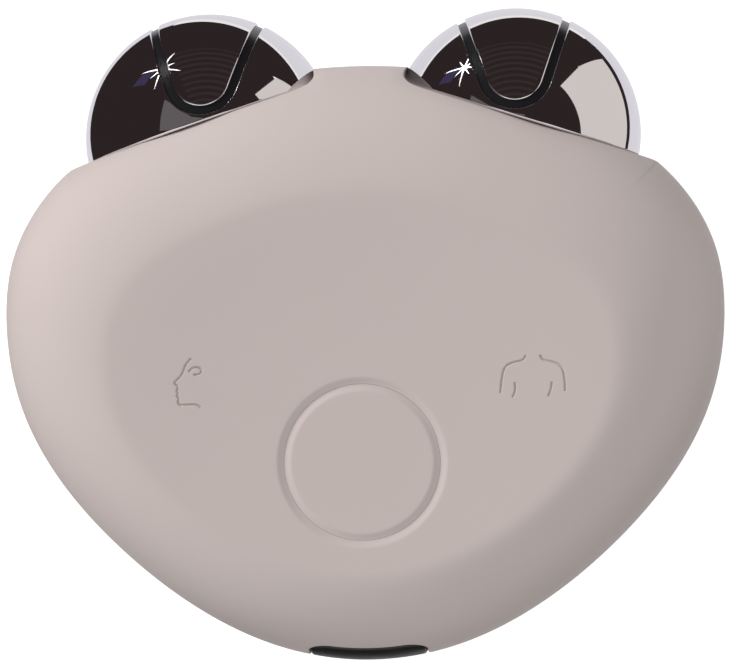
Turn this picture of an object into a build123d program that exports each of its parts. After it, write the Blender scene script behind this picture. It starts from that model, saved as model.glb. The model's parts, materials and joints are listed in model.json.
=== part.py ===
from build123d import *

import os
from math import cos, radians, sin, sqrt, tan

# Facial toning device: a pebble-shaped body with two dome electrodes, a round button in
# a shallow dish and a covered charging port at its tip. Millimetres.
#
# Design frame, used by every function below: +X to the right, +Y towards the domes, +Z
# out of the front face, with Y = 0 on the widest row and Z = 0 on the parting plane.
# save() moves each piece to the part's own frame, which stands it on its rear face.

# ---------------------------------------------------------------- driving dimensions
# Body form
BODY_WIDTH = 85.0
TOP_REACH = 29.3  # from the widest row to the crown between the domes
TIP_REACH = 41.0  # from the widest row to the tip
FRONT_DEPTH = 20.5  # from the parting plane to the crest of the front
REAR_DEPTH = 19.5  # from the parting plane to the flat rest face
CREST_POWER = 1.5  # how softly the flank rolls over into the crest
EDGE_POWER = 3.4  # how square the flank turns down to the parting plane
CREST_WIDTH_SHARE = 0.676  # crest ring, as a share of the outline
CREST_LENGTH_SHARE = 0.61
CREST_CENTRE_Y = -10.4
REST_WIDTH_SHARE = 0.55  # flat face that the device lies on
REST_LENGTH_SHARE = 0.52
DISH_DEPTH = 1.1  # thumb dish inside the crest ring
DISH_HALF_WIDTH = 28.4  # of the dish's oval rim
DISH_HALF_LENGTH = 21.2
DISH_CENTRE_Y = -7.7
DISH_FORM = 10.0  # upright half axis of the ellipsoid that scoops the dish
SKIN_WALL = 1.6  # soft-touch overskin
SHELL_WALL = 1.8  # structural shell under it
ROOT = 0.6  # how far bosses, posts and bay walls reach into the shell's wall

# Outline, right half from crown to tip: shares of the half width and of the reach.
OUTLINE = [
    (0.000, 1.000),
    (0.315, 0.949),
    (0.574, 0.812),
    (0.809, 0.608),
    (0.915, 0.437),
    (0.981, 0.232),
    (1.000, 0.000),
    (0.955, -0.273),
    (0.856, -0.468),
    (0.694, -0.663),
    (0.494, -0.832),
    (0.262, -0.954),
    (0.000, -1.000),
]
RING_STATIONS = 32  # points of each lofted ring
FLANK_ANGLES = (0, 3, 10, 22, 38, 55, 72, 90)  # degrees from the rim to the crest

# Seam between the two halves
LIP_HEIGHT = 1.2
LIP_WALL = 0.8
LIP_GAP = 0.08
SEAL_THICKNESS = 0.6

# Dome electrodes
DOME_RADIUS = 14.9
DOME_X = 18.2
DOME_Y = 21.0
SEAT_TILT = 18.0  # degrees that the seat leans outwards
SEAT_LIFT = 1.7  # seat above the sphere's centre
POCKET_GAP = 0.15
ELECTRODE_WALL = 1.2
GROOVE_WIDTH = 0.95
GROOVE_RECESS = 0.3
TONGUE_RADIUS = 3.9  # centre line of the U groove's round end
TONGUE_LIFT = 3.2  # lowest point of that centre line above the sphere's centre
TONGUE_SPREAD = 19.0  # degrees that each arm of the U leans outwards
LINER_WALL = 1.8
BASE_THICKNESS = 1.5
NECK_RADIUS = 8.0
NECK_BORE = 5.0
FLANGE_RADIUS = 9.6
FLANGE_THICKNESS = 1.5
FIT_GAP = 0.1  # between pieces that are put together once
SEAL_RADIUS = 10.2
STUD_RADIUS = 0.8
STUD_OFFSET = 6.5
STUD_TAIL = 1.6  # how far a contact stud stands out under the flange
STUD_PAD_RADIUS = 1.2
STUD_PAD_THICKNESS = 0.6
SEAL_GAP = 0.02  # a sliding fit of the seal on the neck
CORE_RADIUS = 10.4  # hollow under the dome, wide at its foot
CORE_TOP_RADIUS = 5.4

# Button
BUTTON_Y = -16.5
MOAT_RADIUS = 8.95  # middle line of the soft groove round the button, where the gap runs
MOAT_WIDTH = 1.8
MOAT_DEPTH = 0.35
BUTTON_RADIUS = 8.85
BUTTON_SIDE_GAP = 0.15
BUTTON_TRAVEL = 0.4
WELL_GAP = 0.1  # left under the cap when it is pressed home
CAP_THICKNESS = 1.25  # at the middle of the cap
KEY_DISC_RADIUS = 6.0
KEY_DISC_THICKNESS = 0.6
KEY_STEM_RADIUS = 3.0
KEY_FLANGE_RADIUS = 4.5
KEY_FLANGE_THICKNESS = 0.8
KEY_SIDE_GAP = 0.3
KEY_STOP_GAP = 0.1
SWITCH_SIZE = 6.0
SWITCH_HEIGHT = 3.5
SWITCH_CHAMFER = 0.5
SWITCH_FLOOR = 1.0
PLUNGER_RADIUS = 1.75
PLUNGER_HEIGHT = 4.3  # top of the plunger above the board
PLUNGER_GAP = 0.1
PLUNGER_END_GAP = 0.2  # left under the plunger when it is pressed home

# Charging port and its cover
PORT_Z = 6.2  # middle of the port above the parting plane
COVER_WIDTH = 13.6
COVER_HEIGHT = 8.4
COVER_CORNER = 2.6
COVER_GAP = 0.15
PORT_WIDTH = 10.4
PORT_HEIGHT = 4.8
PLUG_WIDTH = 9.0
PLUG_HEIGHT = 3.2
PLUG_DEPTH = 0.8
PLUG_ROOT = 0.6  # how far the plug reaches into the cover
SLOT_FLAT = 0.1  # half of the straight left at each end of the port's slots
RECEPTACLE_WIDTH = 8.94
RECEPTACLE_HEIGHT = 3.26
RECEPTACLE_LENGTH = 7.35
RECEPTACLE_WALL = 0.3
RECEPTACLE_BACK = 1.0
TONGUE_BLADE_THICKNESS = 0.7
TONGUE_BLADE_WIDTH = 6.69
TONGUE_BLADE_SETBACK = 0.9
RECEPTACLE_SETBACK = 0.4  # behind the shell's inner wall

# Circuit board
BOARD_THICKNESS = 1.2
BOARD_INSET = 10.2  # from the outline
BOARD_TOP_EDGE_Y = 12.0
BOARD_BOSS_RADIUS = 2.2
BOARD_BOSSES = ((13.0, 6.5), (12.5, -25.5))  # mirrored to the left
SMALL_SCREW_RADIUS = 0.9
SMALL_SCREW_HEAD_RADIUS = 1.8
SMALL_SCREW_HEAD = 1.2
SMALL_SCREW_LENGTH = 6.0
SCREW_END_GAP = 0.5  # between a screw's end and the bottom of its pilot hole
THREAD_GAP = 0.06
HOLE_GAP = 0.25
CHIPS = (  # two corners and the height of each chip on the board
    ((-14.0, -5.0), (-9.0, 0.0), 1.0),
    ((9.0, -6.0), (13.0, -2.0), 0.9),
    ((-4.0, 2.0), (4.0, 6.0), 1.5),
    ((16.0, 3.0), (19.0, 9.0), 1.2),
)
COIL_X = -20.5
COIL_Y = 5.5
COIL_RADIUS = 3.6
COIL_CORE_RADIUS = 2.6
COIL_HEIGHT = 4.4
COIL_FLANGE = 1.0

# Mode lights under the two pictograms
LIGHT_X = 19.7
LIGHT_Y = -7.1
LED_SIZE = 1.6
LED_HEIGHT = 0.8
GUIDE_RADIUS = 2.0
GUIDE_FOOT_RADIUS = 1.3
GUIDE_FLANGE_RADIUS = 3.0
GUIDE_FLANGE_THICKNESS = 0.6
GUIDE_GAP = 0.3  # between the light and its guide

# Case screws, under the rear skin
CASE_SCREW_STATIONS = (9, 13)  # stations of the ring, mirrored to the left
CASE_SCREW_INSET = 6.7
CASE_SCREW_RADIUS = 1.0
CASE_SCREW_HEAD_RADIUS = 1.9
CASE_SCREW_HEAD = 1.4
CASE_SCREW_LENGTH = 13.0
CASE_SCREW_SEAT_Z = -8.5
DRIVE_SLOT_WIDTH = 0.5
DRIVE_SLOT_DEPTH = 0.6
FRONT_BOSS_RADIUS = 2.3
REAR_BOSS_RADIUS = 3.0
BOSS_MEETING_Z = -0.6

# Battery
CELL_LENGTH = 36.0
CELL_WIDTH = 24.0
CELL_THICKNESS = 6.5
CELL_Y = -12.0
CELL_CORNER = 2.0
PAD_THICKNESS = 1.2
PAD_MARGIN = 4.0  # from the cell's edge to the pad's
BAY_WALL = 1.2
BAY_HEIGHT = 4.0
BAY_GAP = 0.3
STRAP_WIDTH = 8.0
STRAP_THICKNESS = 0.8
STRAP_POST_RADIUS = 2.4
STRAP_POST_X = 22.5
STRAP_END = 1.0  # strap beyond its posts

# Vibration motor
MOTOR_RADIUS = 3.5
MOTOR_LENGTH = 14.0
MOTOR_X = -3.5  # middle of the can
MOTOR_Y = 9.5
MOTOR_Z = -9.5
MOTOR_CHAMFER = 0.4
SHAFT_RADIUS = 0.5
SHAFT_GAP = 0.05
SHAFT_LENGTH = 9.0
SHAFT_DEPTH = 4.0  # inside the can
SHAFT_END_GAP = 0.3
WEIGHT_RADIUS = 3.0
WEIGHT_LENGTH = 4.0
WEIGHT_HUB_RADIUS = 1.2
WEIGHT_END_GAP = 0.6
CRADLE_WALL = 1.2
CRADLE_LENGTH = 9.0
CRADLE_GAP = 0.02
CRADLE_THROAT_SHARE = 0.9  # opening of the cradle, as a share of the can's width

# Leads inside the case, each a list of points from one end to the other
LEAD_RADIUS = 0.35
LEAD_RUN_SHARE = 0.45  # share of the shorter run that each bend may use
LEAD_STRAIGHT = 2.3  # end runs, square to the faces they leave, and the rise of half a turn
ELECTRODE_PADS = ((20.3, 4.2), (16.8, 5.6))  # for the outer and the inner electrode
BATTERY_LEAD_Y = (-5.2, -3.4)
BATTERY_LEAD_REACH = 5.5  # from the cell's end to the board's pads
BATTERY_LEAD_SAG_Z = -1.5
TAB_DROP = 1.6  # from the cell's top to its tabs
MOTOR_LEAD_OFFSETS = (-1.0, 0.8)
MOTOR_LEAD_SAG_Z = -1.5
LEAD_SAG = 0.3  # how far a lead strays sideways from the straight way

# ---------------------------------------------------------------- worked-out places
FAR = 200.0  # longer than anything here
DOME_TOP = DOME_Y + DOME_RADIUS
MIDDLE_Y = (DOME_TOP - TIP_REACH) / 2
WALL = SKIN_WALL + SHELL_WALL
DISH_FLOOR_Z = FRONT_DEPTH - DISH_DEPTH
SEAT_NORMAL = Vector(sin(radians(SEAT_TILT)), cos(radians(SEAT_TILT)), 0)
SEAT_ALONG = Vector(cos(radians(SEAT_TILT)), -sin(radians(SEAT_TILT)), 0)
DOME_CENTRE = Vector(DOME_X, DOME_Y, 0)
SEAT = Plane(origin=DOME_CENTRE + SEAT_NORMAL * SEAT_LIFT, x_dir=SEAT_ALONG, z_dir=SEAT_NORMAL)
BOARD_TOP_Z = PORT_Z - RECEPTACLE_HEIGHT / 2
BOARD_UNDER_Z = BOARD_TOP_Z - BOARD_THICKNESS
DISH_SPREAD = sqrt(1 - (1 - DISH_DEPTH / DISH_FORM) ** 2)  # rim as a share of the ellipsoid
DISH_AXIS_X = DISH_HALF_WIDTH / DISH_SPREAD
DISH_AXIS_Y = DISH_HALF_LENGTH / DISH_SPREAD
KEY_FLANGE_Z = DISH_FLOOR_Z - WALL - KEY_STOP_GAP
PORT_WALL_Y = -(TIP_REACH - SKIN_WALL)
RECEPTACLE_MOUTH_Y = -(TIP_REACH - WALL - RECEPTACLE_SETBACK)
REAR_FLOOR_Z = -(REAR_DEPTH - WALL)
CELL_UNDER_Z = REAR_FLOOR_Z + PAD_THICKNESS
CELL_TOP_Z = CELL_UNDER_Z + CELL_THICKNESS


def dish_height(x, y):
    """Height of the dish's surface."""
    across = (x / DISH_AXIS_X) ** 2 + ((y - DISH_CENTRE_Y) / DISH_AXIS_Y) ** 2
    return DISH_FLOOR_Z + DISH_FORM * (1 - sqrt(1 - across))


CAP_UNDER_Z = dish_height(0, BUTTON_Y) - CAP_THICKNESS
WELL_FLOOR_Z = CAP_UNDER_Z - BUTTON_TRAVEL - WELL_GAP

parts = {}


def add(name, *solids):
    """Keep the solids of one node under its name."""
    parts[name] = list(solids)


def both(solid):
    """The solid and its mirror image across the middle plane."""
    return [solid, mirror(solid, about=Plane.YZ)]


def box(x0, y0, z0, x1, y1, z1):
    """A box between two corners."""
    return Pos((x0 + x1) / 2, (y0 + y1) / 2, (z0 + z1) / 2) * Box(x1 - x0, y1 - y0, z1 - z0)


def rod(x, y, z0, z1, radius):
    """An upright cylinder between two heights."""
    return Pos(x, y, (z0 + z1) / 2) * Cylinder(radius, z1 - z0)


# ---------------------------------------------------------------- body form
def outline_curve():
    """The closed outline on the parting plane."""
    right = []
    for across, along in OUTLINE:
        reach = TOP_REACH if along > 0 else TIP_REACH
        right.append((across * BODY_WIDTH / 2, along * reach))
    left = [(-x, y) for x, y in reversed(right[1:-1])]
    return Spline(*right, *left, periodic=True)


def outline_ring(inset):
    """Points round the outline, from the crown clockwise, moved inwards by the inset."""
    rim = outline_curve()
    ring = []
    for station in range(RING_STATIONS):
        at = rim @ (station / RING_STATIONS)
        along = rim % (station / RING_STATIONS)
        ring.append((at.X + inset * along.Y, at.Y - inset * along.X))
    return ring


def scaled_ring(ring, across, along, centre_y):
    """A ring scaled about a point of the middle line."""
    return [(across * x, centre_y + along * (y - centre_y)) for x, y in ring]


def between(inner, outer, share):
    """The ring that lies the given share of the way from the inner to the outer one."""
    return [
        (a[0] + share * (b[0] - a[0]), a[1] + share * (b[1] - a[1])) for a, b in zip(inner, outer)
    ]


def ring_face(ring, z):
    """The face inside a ring, at one height."""
    return Pos(0, 0, z) * make_face(Spline(*ring, periodic=True))


def flank(inset, depth, crest, side):
    """Faces from the rim on the parting plane to the crest ring, on one side of it."""
    rim = outline_ring(inset)
    faces = []
    for angle in FLANK_ANGLES:
        out = cos(radians(angle)) ** (2 / CREST_POWER) if angle < 90 else 0.0
        up = sin(radians(angle)) ** (2 / EDGE_POWER)
        faces.append(ring_face(between(crest, rim, out), side * (depth - inset) * up))
    return faces


def front_half(inset):
    """The front of the pebble with its dish: smooth outside, in straight bands where inset."""
    crest = scaled_ring(
        outline_ring(0), CREST_WIDTH_SHARE, CREST_LENGTH_SHARE, CREST_CENTRE_Y
    )
    scoop = scale(Sphere(1), by=(DISH_AXIS_X, DISH_AXIS_Y, DISH_FORM))
    scoop = Pos(0, DISH_CENTRE_Y, DISH_FLOOR_Z + DISH_FORM - inset) * scoop
    return loft(flank(inset, FRONT_DEPTH, crest, 1), ruled=inset > 0) - scoop


def rear_half(inset):
    """The rear of the pebble with its flat rest face: smooth outside, banded where inset."""
    rest = scaled_ring(outline_ring(0), REST_WIDTH_SHARE, REST_LENGTH_SHARE, CREST_CENTRE_Y)
    return loft(flank(inset, REAR_DEPTH, rest, -1), ruled=inset > 0)


def dome_pockets(grow):
    """The space that the two domes need above their seats, grown by a wall."""
    sweep = Pos(DOME_X, DOME_Y, 0) * Cylinder(DOME_RADIUS + POCKET_GAP + grow, FAR)
    above = SEAT * Pos(0, 0, FAR / 2 - grow) * Box(FAR, FAR, FAR)
    pocket = sweep & above
    return pocket + mirror(pocket, about=Plane.YZ)


def neck_holes(radius):
    """Round holes through both dome seats."""
    hole = SEAT * Cylinder(radius, 3 * WALL)
    return hole + mirror(hole, about=Plane.YZ)


def rounded_prism(width, height, corner, y0, y1):
    """A rounded rectangle across the port, drawn from one Y to another."""
    face = Plane.XZ * RectangleRounded(width, height, corner)
    return extrude(Pos(0, y1, PORT_Z) * face, y1 - y0)


def seam_band(outer, inner, z0, z1):
    """A band that follows the wall at the parting plane, round the dome seats too."""
    outside = Pos(0, 0, z0) * extrude(ring_face(outline_ring(outer), 0), z1 - z0)
    inside = Pos(0, 0, z0) * extrude(ring_face(outline_ring(inner), 0), z1 - z0)
    return (outside - dome_pockets(outer)) - (inside - dome_pockets(inner))


def moat():
    """A ring that cuts the soft groove round the button, leaning with the dish."""
    ring_radius = (MOAT_WIDTH**2 / 4 + MOAT_DEPTH**2) / (2 * MOAT_DEPTH)
    below = dish_height(0, BUTTON_Y - MOAT_RADIUS)
    above = dish_height(0, BUTTON_Y + MOAT_RADIUS)
    beside = dish_height(MOAT_RADIUS, BUTTON_Y)
    slope = (above - below) / (2 * MOAT_RADIUS)
    centre_z = (below + above + 2 * beside) / 4 + ring_radius - MOAT_DEPTH
    lean = Plane(origin=(0, BUTTON_Y, centre_z), x_dir=(1, 0, 0), z_dir=(0, -slope, 1))
    return lean * Torus(MOAT_RADIUS, ring_radius)


def case_screw_places():
    """Right-hand places of the case screws."""
    ring = outline_ring(CASE_SCREW_INSET)
    return [ring[station] for station in CASE_SCREW_STATIONS]


# ---------------------------------------------------------------- housing
def make_housing():
    """Overskins, shells, seam seal and the screws that hold the case together."""
    front = [front_half(inset) for inset in (0, SKIN_WALL, WALL)]
    rear = [rear_half(inset) for inset in (0, SKIN_WALL, WALL)]
    pockets = [dome_pockets(grow) for grow in (0, SKIN_WALL, WALL)]
    outer, middle, inner = [half - pocket for half, pocket in zip(front, pockets)]
    rear_outer, rear_middle, rear_inner = [half - pocket for half, pocket in zip(rear, pockets)]
    seal_holes = neck_holes(SEAL_RADIUS + FIT_GAP)
    shell_holes = neck_holes(NECK_RADIUS + FIT_GAP)

    well = rod(0, BUTTON_Y, WELL_FLOOR_Z, FAR, BUTTON_RADIUS + BUTTON_SIDE_GAP)
    cover_hole = rounded_prism(
        COVER_WIDTH + 2 * COVER_GAP,
        COVER_HEIGHT + 2 * COVER_GAP,
        COVER_CORNER + COVER_GAP,
        -FAR / 2,
        -TIP_REACH / 2,
    )
    add("front_skin", outer - middle - well - cover_hole - seal_holes - moat())
    add("rear_skin", rear_outer - rear_middle - seal_holes)

    tongue = seam_band(WALL - LIP_WALL, WALL, -LIP_HEIGHT, 0)
    rebate_depth = LIP_HEIGHT + SEAL_THICKNESS
    rebate = seam_band(WALL - LIP_WALL - LIP_GAP, WALL + LIP_GAP, -rebate_depth, 0)
    seal = seam_band(WALL - LIP_WALL, WALL, -rebate_depth, -LIP_HEIGHT)
    key_hole = rod(0, BUTTON_Y, 0, FAR, KEY_STEM_RADIUS + KEY_SIDE_GAP)
    port_corner = PORT_HEIGHT / 2 - SLOT_FLAT
    port = rounded_prism(PORT_WIDTH, PORT_HEIGHT, port_corner, -FAR / 2, -TIP_REACH / 2)
    shell = middle - inner + tongue - well - key_hole - port - shell_holes
    for x, y in BOARD_BOSSES:
        boss = rod(x, y, BOARD_TOP_Z, FRONT_DEPTH, BOARD_BOSS_RADIUS) & front_half(SKIN_WALL + ROOT)
        boss -= rod(x, y, 0, BOARD_TOP_Z + SMALL_SCREW_LENGTH, SMALL_SCREW_RADIUS + THREAD_GAP)
        for copy in both(boss):
            shell += copy
    for x, y in case_screw_places():
        boss = rod(x, y, BOSS_MEETING_Z, FRONT_DEPTH, FRONT_BOSS_RADIUS) & (
            front_half(SKIN_WALL + ROOT) + rod(x, y, BOSS_MEETING_Z, 0, FRONT_BOSS_RADIUS)
        )
        reach = CASE_SCREW_SEAT_Z + CASE_SCREW_LENGTH
        boss -= rod(x, y, BOSS_MEETING_Z, reach, CASE_SCREW_RADIUS + THREAD_GAP)
        for copy in both(boss):
            shell += copy
    for hole in both(rod(LIGHT_X, LIGHT_Y, 0, FAR, GUIDE_RADIUS + FIT_GAP)):
        shell -= hole
    add("front_shell", shell)

    shell = rear_middle - rear_inner - rebate - shell_holes
    for x, y in case_screw_places():
        boss = rod(x, y, -REAR_DEPTH, BOSS_MEETING_Z - FIT_GAP, REAR_BOSS_RADIUS)
        shell_part = boss & rear_half(SKIN_WALL + ROOT)
        hole = rod(x, y, -FAR, CASE_SCREW_SEAT_Z, CASE_SCREW_HEAD_RADIUS + FIT_GAP)
        hole += rod(x, y, -FAR, 0, CASE_SCREW_RADIUS + HOLE_GAP)
        for copy, bore in zip(both(shell_part), both(hole)):
            shell = shell + copy - bore
    floor = REAR_FLOOR_Z - ROOT
    bay = [CELL_LENGTH / 2 + BAY_GAP, CELL_WIDTH / 2 + BAY_GAP]
    walls = box(
        -bay[0] - BAY_WALL, CELL_Y - bay[1] - BAY_WALL, floor,
        bay[0] + BAY_WALL, CELL_Y + bay[1] + BAY_WALL, REAR_FLOOR_Z + BAY_HEIGHT,
    )
    walls -= box(-bay[0], CELL_Y - bay[1], floor, bay[0], CELL_Y + bay[1], 0)
    walls &= rear_half(SKIN_WALL + ROOT)
    shell += walls
    for x in (-STRAP_POST_X, STRAP_POST_X):
        post = rod(x, CELL_Y, floor, CELL_TOP_Z, STRAP_POST_RADIUS) & rear_half(SKIN_WALL + ROOT)
        pilot = rod(x, CELL_Y, CELL_TOP_Z - SMALL_SCREW_LENGTH + STRAP_THICKNESS, CELL_TOP_Z,
                    SMALL_SCREW_RADIUS + THREAD_GAP)
        shell = shell + post - pilot
    add("rear_shell", shell)
    add("case_seal", seal - shell_holes)

    screws = []
    for x, y in case_screw_places():
        seat = CASE_SCREW_SEAT_Z
        screw = rod(x, y, seat - CASE_SCREW_HEAD, seat, CASE_SCREW_HEAD_RADIUS)
        screw += rod(x, y, seat, seat + CASE_SCREW_LENGTH - SCREW_END_GAP, CASE_SCREW_RADIUS)
        half = DRIVE_SLOT_WIDTH / 2
        foot = seat - CASE_SCREW_HEAD
        slot = box(x - FAR, y - half, foot, x + FAR, y + half, foot + DRIVE_SLOT_DEPTH)
        screws += both(screw - slot)
    add("case_screws", *screws)


# ---------------------------------------------------------------- button
def make_button():
    """Button cap, the hard key under it, and the switch that it presses."""
    cap = (rod(0, BUTTON_Y, CAP_UNDER_Z, FRONT_DEPTH, BUTTON_RADIUS) & front_half(0)) - moat()
    cap -= rod(0, BUTTON_Y, 0, CAP_UNDER_Z + KEY_DISC_THICKNESS, KEY_DISC_RADIUS)
    add("button_cap", cap)

    key = rod(0, BUTTON_Y, CAP_UNDER_Z, CAP_UNDER_Z + KEY_DISC_THICKNESS, KEY_DISC_RADIUS)
    stem_foot = BOARD_TOP_Z + PLUNGER_HEIGHT
    key += rod(0, BUTTON_Y, stem_foot, CAP_UNDER_Z, KEY_STEM_RADIUS)
    key += rod(0, BUTTON_Y, KEY_FLANGE_Z - KEY_FLANGE_THICKNESS, KEY_FLANGE_Z, KEY_FLANGE_RADIUS)
    add("button_key", key)

    half = SWITCH_SIZE / 2
    top = BOARD_TOP_Z + SWITCH_HEIGHT
    switch = box(-half, BUTTON_Y - half, BOARD_TOP_Z, half, BUTTON_Y + half, top)
    switch = chamfer(switch.edges().filter_by(Axis.Z), SWITCH_CHAMFER)
    bore_foot = BOARD_TOP_Z + SWITCH_FLOOR
    switch -= rod(0, BUTTON_Y, bore_foot, top, PLUNGER_RADIUS + PLUNGER_GAP)
    add("switch_body", switch)
    foot = bore_foot + BUTTON_TRAVEL + PLUNGER_END_GAP
    add("switch_plunger", rod(0, BUTTON_Y, foot, stem_foot, PLUNGER_RADIUS))


# ---------------------------------------------------------------- dome electrodes
def tongue_prism(radius):
    """The space inside a U drawn in the front view, run from front to rear."""
    lean = radians(TONGUE_SPREAD)
    centre_y = TONGUE_LIFT + TONGUE_RADIUS
    touch = (radius * cos(lean), centre_y - radius * sin(lean))
    arm = 2 * DOME_RADIUS
    tip = (touch[0] + arm * sin(lean), touch[1] + arm * cos(lean))
    bottom = (0, centre_y - radius)
    edges = [
        Line(tip, touch),
        ThreePointArc(touch, bottom, (-touch[0], touch[1])),
        Line((-touch[0], touch[1]), (-tip[0], tip[1])),
        Line((-tip[0], tip[1]), tip),
    ]
    prism = extrude(make_face(edges), FAR / 2, both=True)
    return Pos(DOME_X, DOME_Y, 0) * prism


def dome_solid(radius):
    """A sphere about the dome's centre, cut off flat at its seat."""
    base = sqrt(radius**2 - SEAT_LIFT**2)
    halfway = radians(45)
    shoulder = (radius * cos(halfway), 0, radius * sin(halfway) - SEAT_LIFT)
    top = (0, 0, radius - SEAT_LIFT)
    edges = [
        Line((0, 0, 0), (base, 0, 0)),
        ThreePointArc((base, 0, 0), shoulder, top),
        Line(top, (0, 0, 0)),
    ]
    return SEAT * revolve(make_face(edges), Axis.Z)


def seat_rod(x, z0, z1, radius):
    """A cylinder square to the seat, offset along it."""
    return SEAT * Pos(x, 0, (z0 + z1) / 2) * Cylinder(radius, z1 - z0)


def dome_core():
    """The hollow inside the insulator, in straight steps that clear the sphere by a wall."""
    radius = DOME_RADIUS - ELECTRODE_WALL - LINER_WALL
    shoulder = sqrt(radius**2 - CORE_RADIUS**2) - SEAT_LIFT
    top = sqrt(radius**2 - CORE_TOP_RADIUS**2) - SEAT_LIFT
    edges = Polyline(
        (0, 0, BASE_THICKNESS),
        (CORE_RADIUS, 0, BASE_THICKNESS),
        (CORE_RADIUS, 0, shoulder),
        (CORE_TOP_RADIUS, 0, top),
        (0, 0, top),
        (0, 0, BASE_THICKNESS),
    )
    return SEAT * revolve(make_face(edges), Axis.Z)


def contact_studs():
    """The two studs that lead to the outer and the inner electrode."""
    inside = DOME_RADIUS - ELECTRODE_WALL
    foot = -WALL - FIT_GAP - FLANGE_THICKNESS - STUD_TAIL
    outer_top = sqrt(inside**2 - (STUD_OFFSET + STUD_RADIUS) ** 2) - SEAT_LIFT
    inner_top = sqrt(inside**2 - STUD_RADIUS**2) - SEAT_LIFT
    return (
        (STUD_OFFSET, foot, outer_top),
        (0.0, foot, inner_top),
    )


def make_domes():
    """Both dome electrodes with what insulates, seals, holds and connects them."""
    inside = DOME_RADIUS - ELECTRODE_WALL
    shell = dome_solid(DOME_RADIUS) - dome_solid(inside)
    outer = shell - tongue_prism(TONGUE_RADIUS + GROOVE_WIDTH / 2)
    inner = shell & tongue_prism(TONGUE_RADIUS - GROOVE_WIDTH / 2)

    groove = tongue_prism(TONGUE_RADIUS + GROOVE_WIDTH / 2)
    groove -= tongue_prism(TONGUE_RADIUS - GROOVE_WIDTH / 2)
    rib = (dome_solid(DOME_RADIUS - GROOVE_RECESS) - dome_solid(inside)) & groove
    holder = dome_solid(inside) - dome_core() + rib
    holder += seat_rod(0, -WALL - FIT_GAP, 0, NECK_RADIUS)
    holder += seat_rod(0, -WALL - FIT_GAP - FLANGE_THICKNESS, -WALL - FIT_GAP, FLANGE_RADIUS)
    holder -= seat_rod(0, -FAR / 2, BASE_THICKNESS, NECK_BORE)
    studs = []
    for x, foot, top in contact_studs():
        holder -= seat_rod(x, foot, top + ELECTRODE_WALL, STUD_RADIUS + FIT_GAP)
        pad = seat_rod(x, foot, foot + STUD_PAD_THICKNESS, STUD_PAD_RADIUS)
        studs.append(seat_rod(x, foot, top, STUD_RADIUS) + pad)

    seal = seat_rod(0, -SKIN_WALL, 0, SEAL_RADIUS)
    seal -= seat_rod(0, -SKIN_WALL, 0, NECK_RADIUS + SEAL_GAP)

    for side, pick in (("right", 0), ("left", 1)):
        add(f"{side}_outer_electrode", both(outer)[pick])
        add(f"{side}_inner_electrode", both(inner)[pick])
        add(f"{side}_dome_insulator", both(holder)[pick])
        add(f"{side}_dome_seal", both(seal)[pick])
        add(f"{side}_contact_studs", *[both(stud)[pick] for stud in studs])


# ---------------------------------------------------------------- charging port
def make_port():
    """Port cover with its plug, and the socket behind it."""
    lid = rounded_prism(COVER_WIDTH, COVER_HEIGHT, COVER_CORNER, -FAR / 2, -TIP_REACH / 2)
    lid = lid & (front_half(0) - front_half(SKIN_WALL - COVER_GAP))
    plug = rounded_prism(
        PLUG_WIDTH, PLUG_HEIGHT, PLUG_HEIGHT / 2 - SLOT_FLAT,
        PORT_WALL_Y - PLUG_ROOT, PORT_WALL_Y + PLUG_DEPTH,
    )
    add("port_cover", lid + plug)

    mouth = RECEPTACLE_MOUTH_Y
    back = mouth + RECEPTACLE_LENGTH
    corner = RECEPTACLE_HEIGHT / 2 - SLOT_FLAT
    can = rounded_prism(RECEPTACLE_WIDTH, RECEPTACLE_HEIGHT, corner, mouth, back)
    can -= rounded_prism(
        RECEPTACLE_WIDTH - 2 * RECEPTACLE_WALL,
        RECEPTACLE_HEIGHT - 2 * RECEPTACLE_WALL,
        corner - RECEPTACLE_WALL,
        mouth,
        back - RECEPTACLE_BACK,
    )
    blade = box(
        -TONGUE_BLADE_WIDTH / 2, mouth + TONGUE_BLADE_SETBACK, PORT_Z - TONGUE_BLADE_THICKNESS / 2,
        TONGUE_BLADE_WIDTH / 2, back - RECEPTACLE_BACK / 2, PORT_Z + TONGUE_BLADE_THICKNESS / 2,
    )
    add("usb_receptacle", can + blade)


# ---------------------------------------------------------------- electronics
def board_outline():
    """The board's face, cut straight across below the dome flanges."""
    face = ring_face(outline_ring(BOARD_INSET), BOARD_UNDER_Z)
    keep = Pos(0, BOARD_TOP_EDGE_Y - FAR / 2, BOARD_UNDER_Z) * Rectangle(FAR, FAR)
    return face & keep


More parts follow.
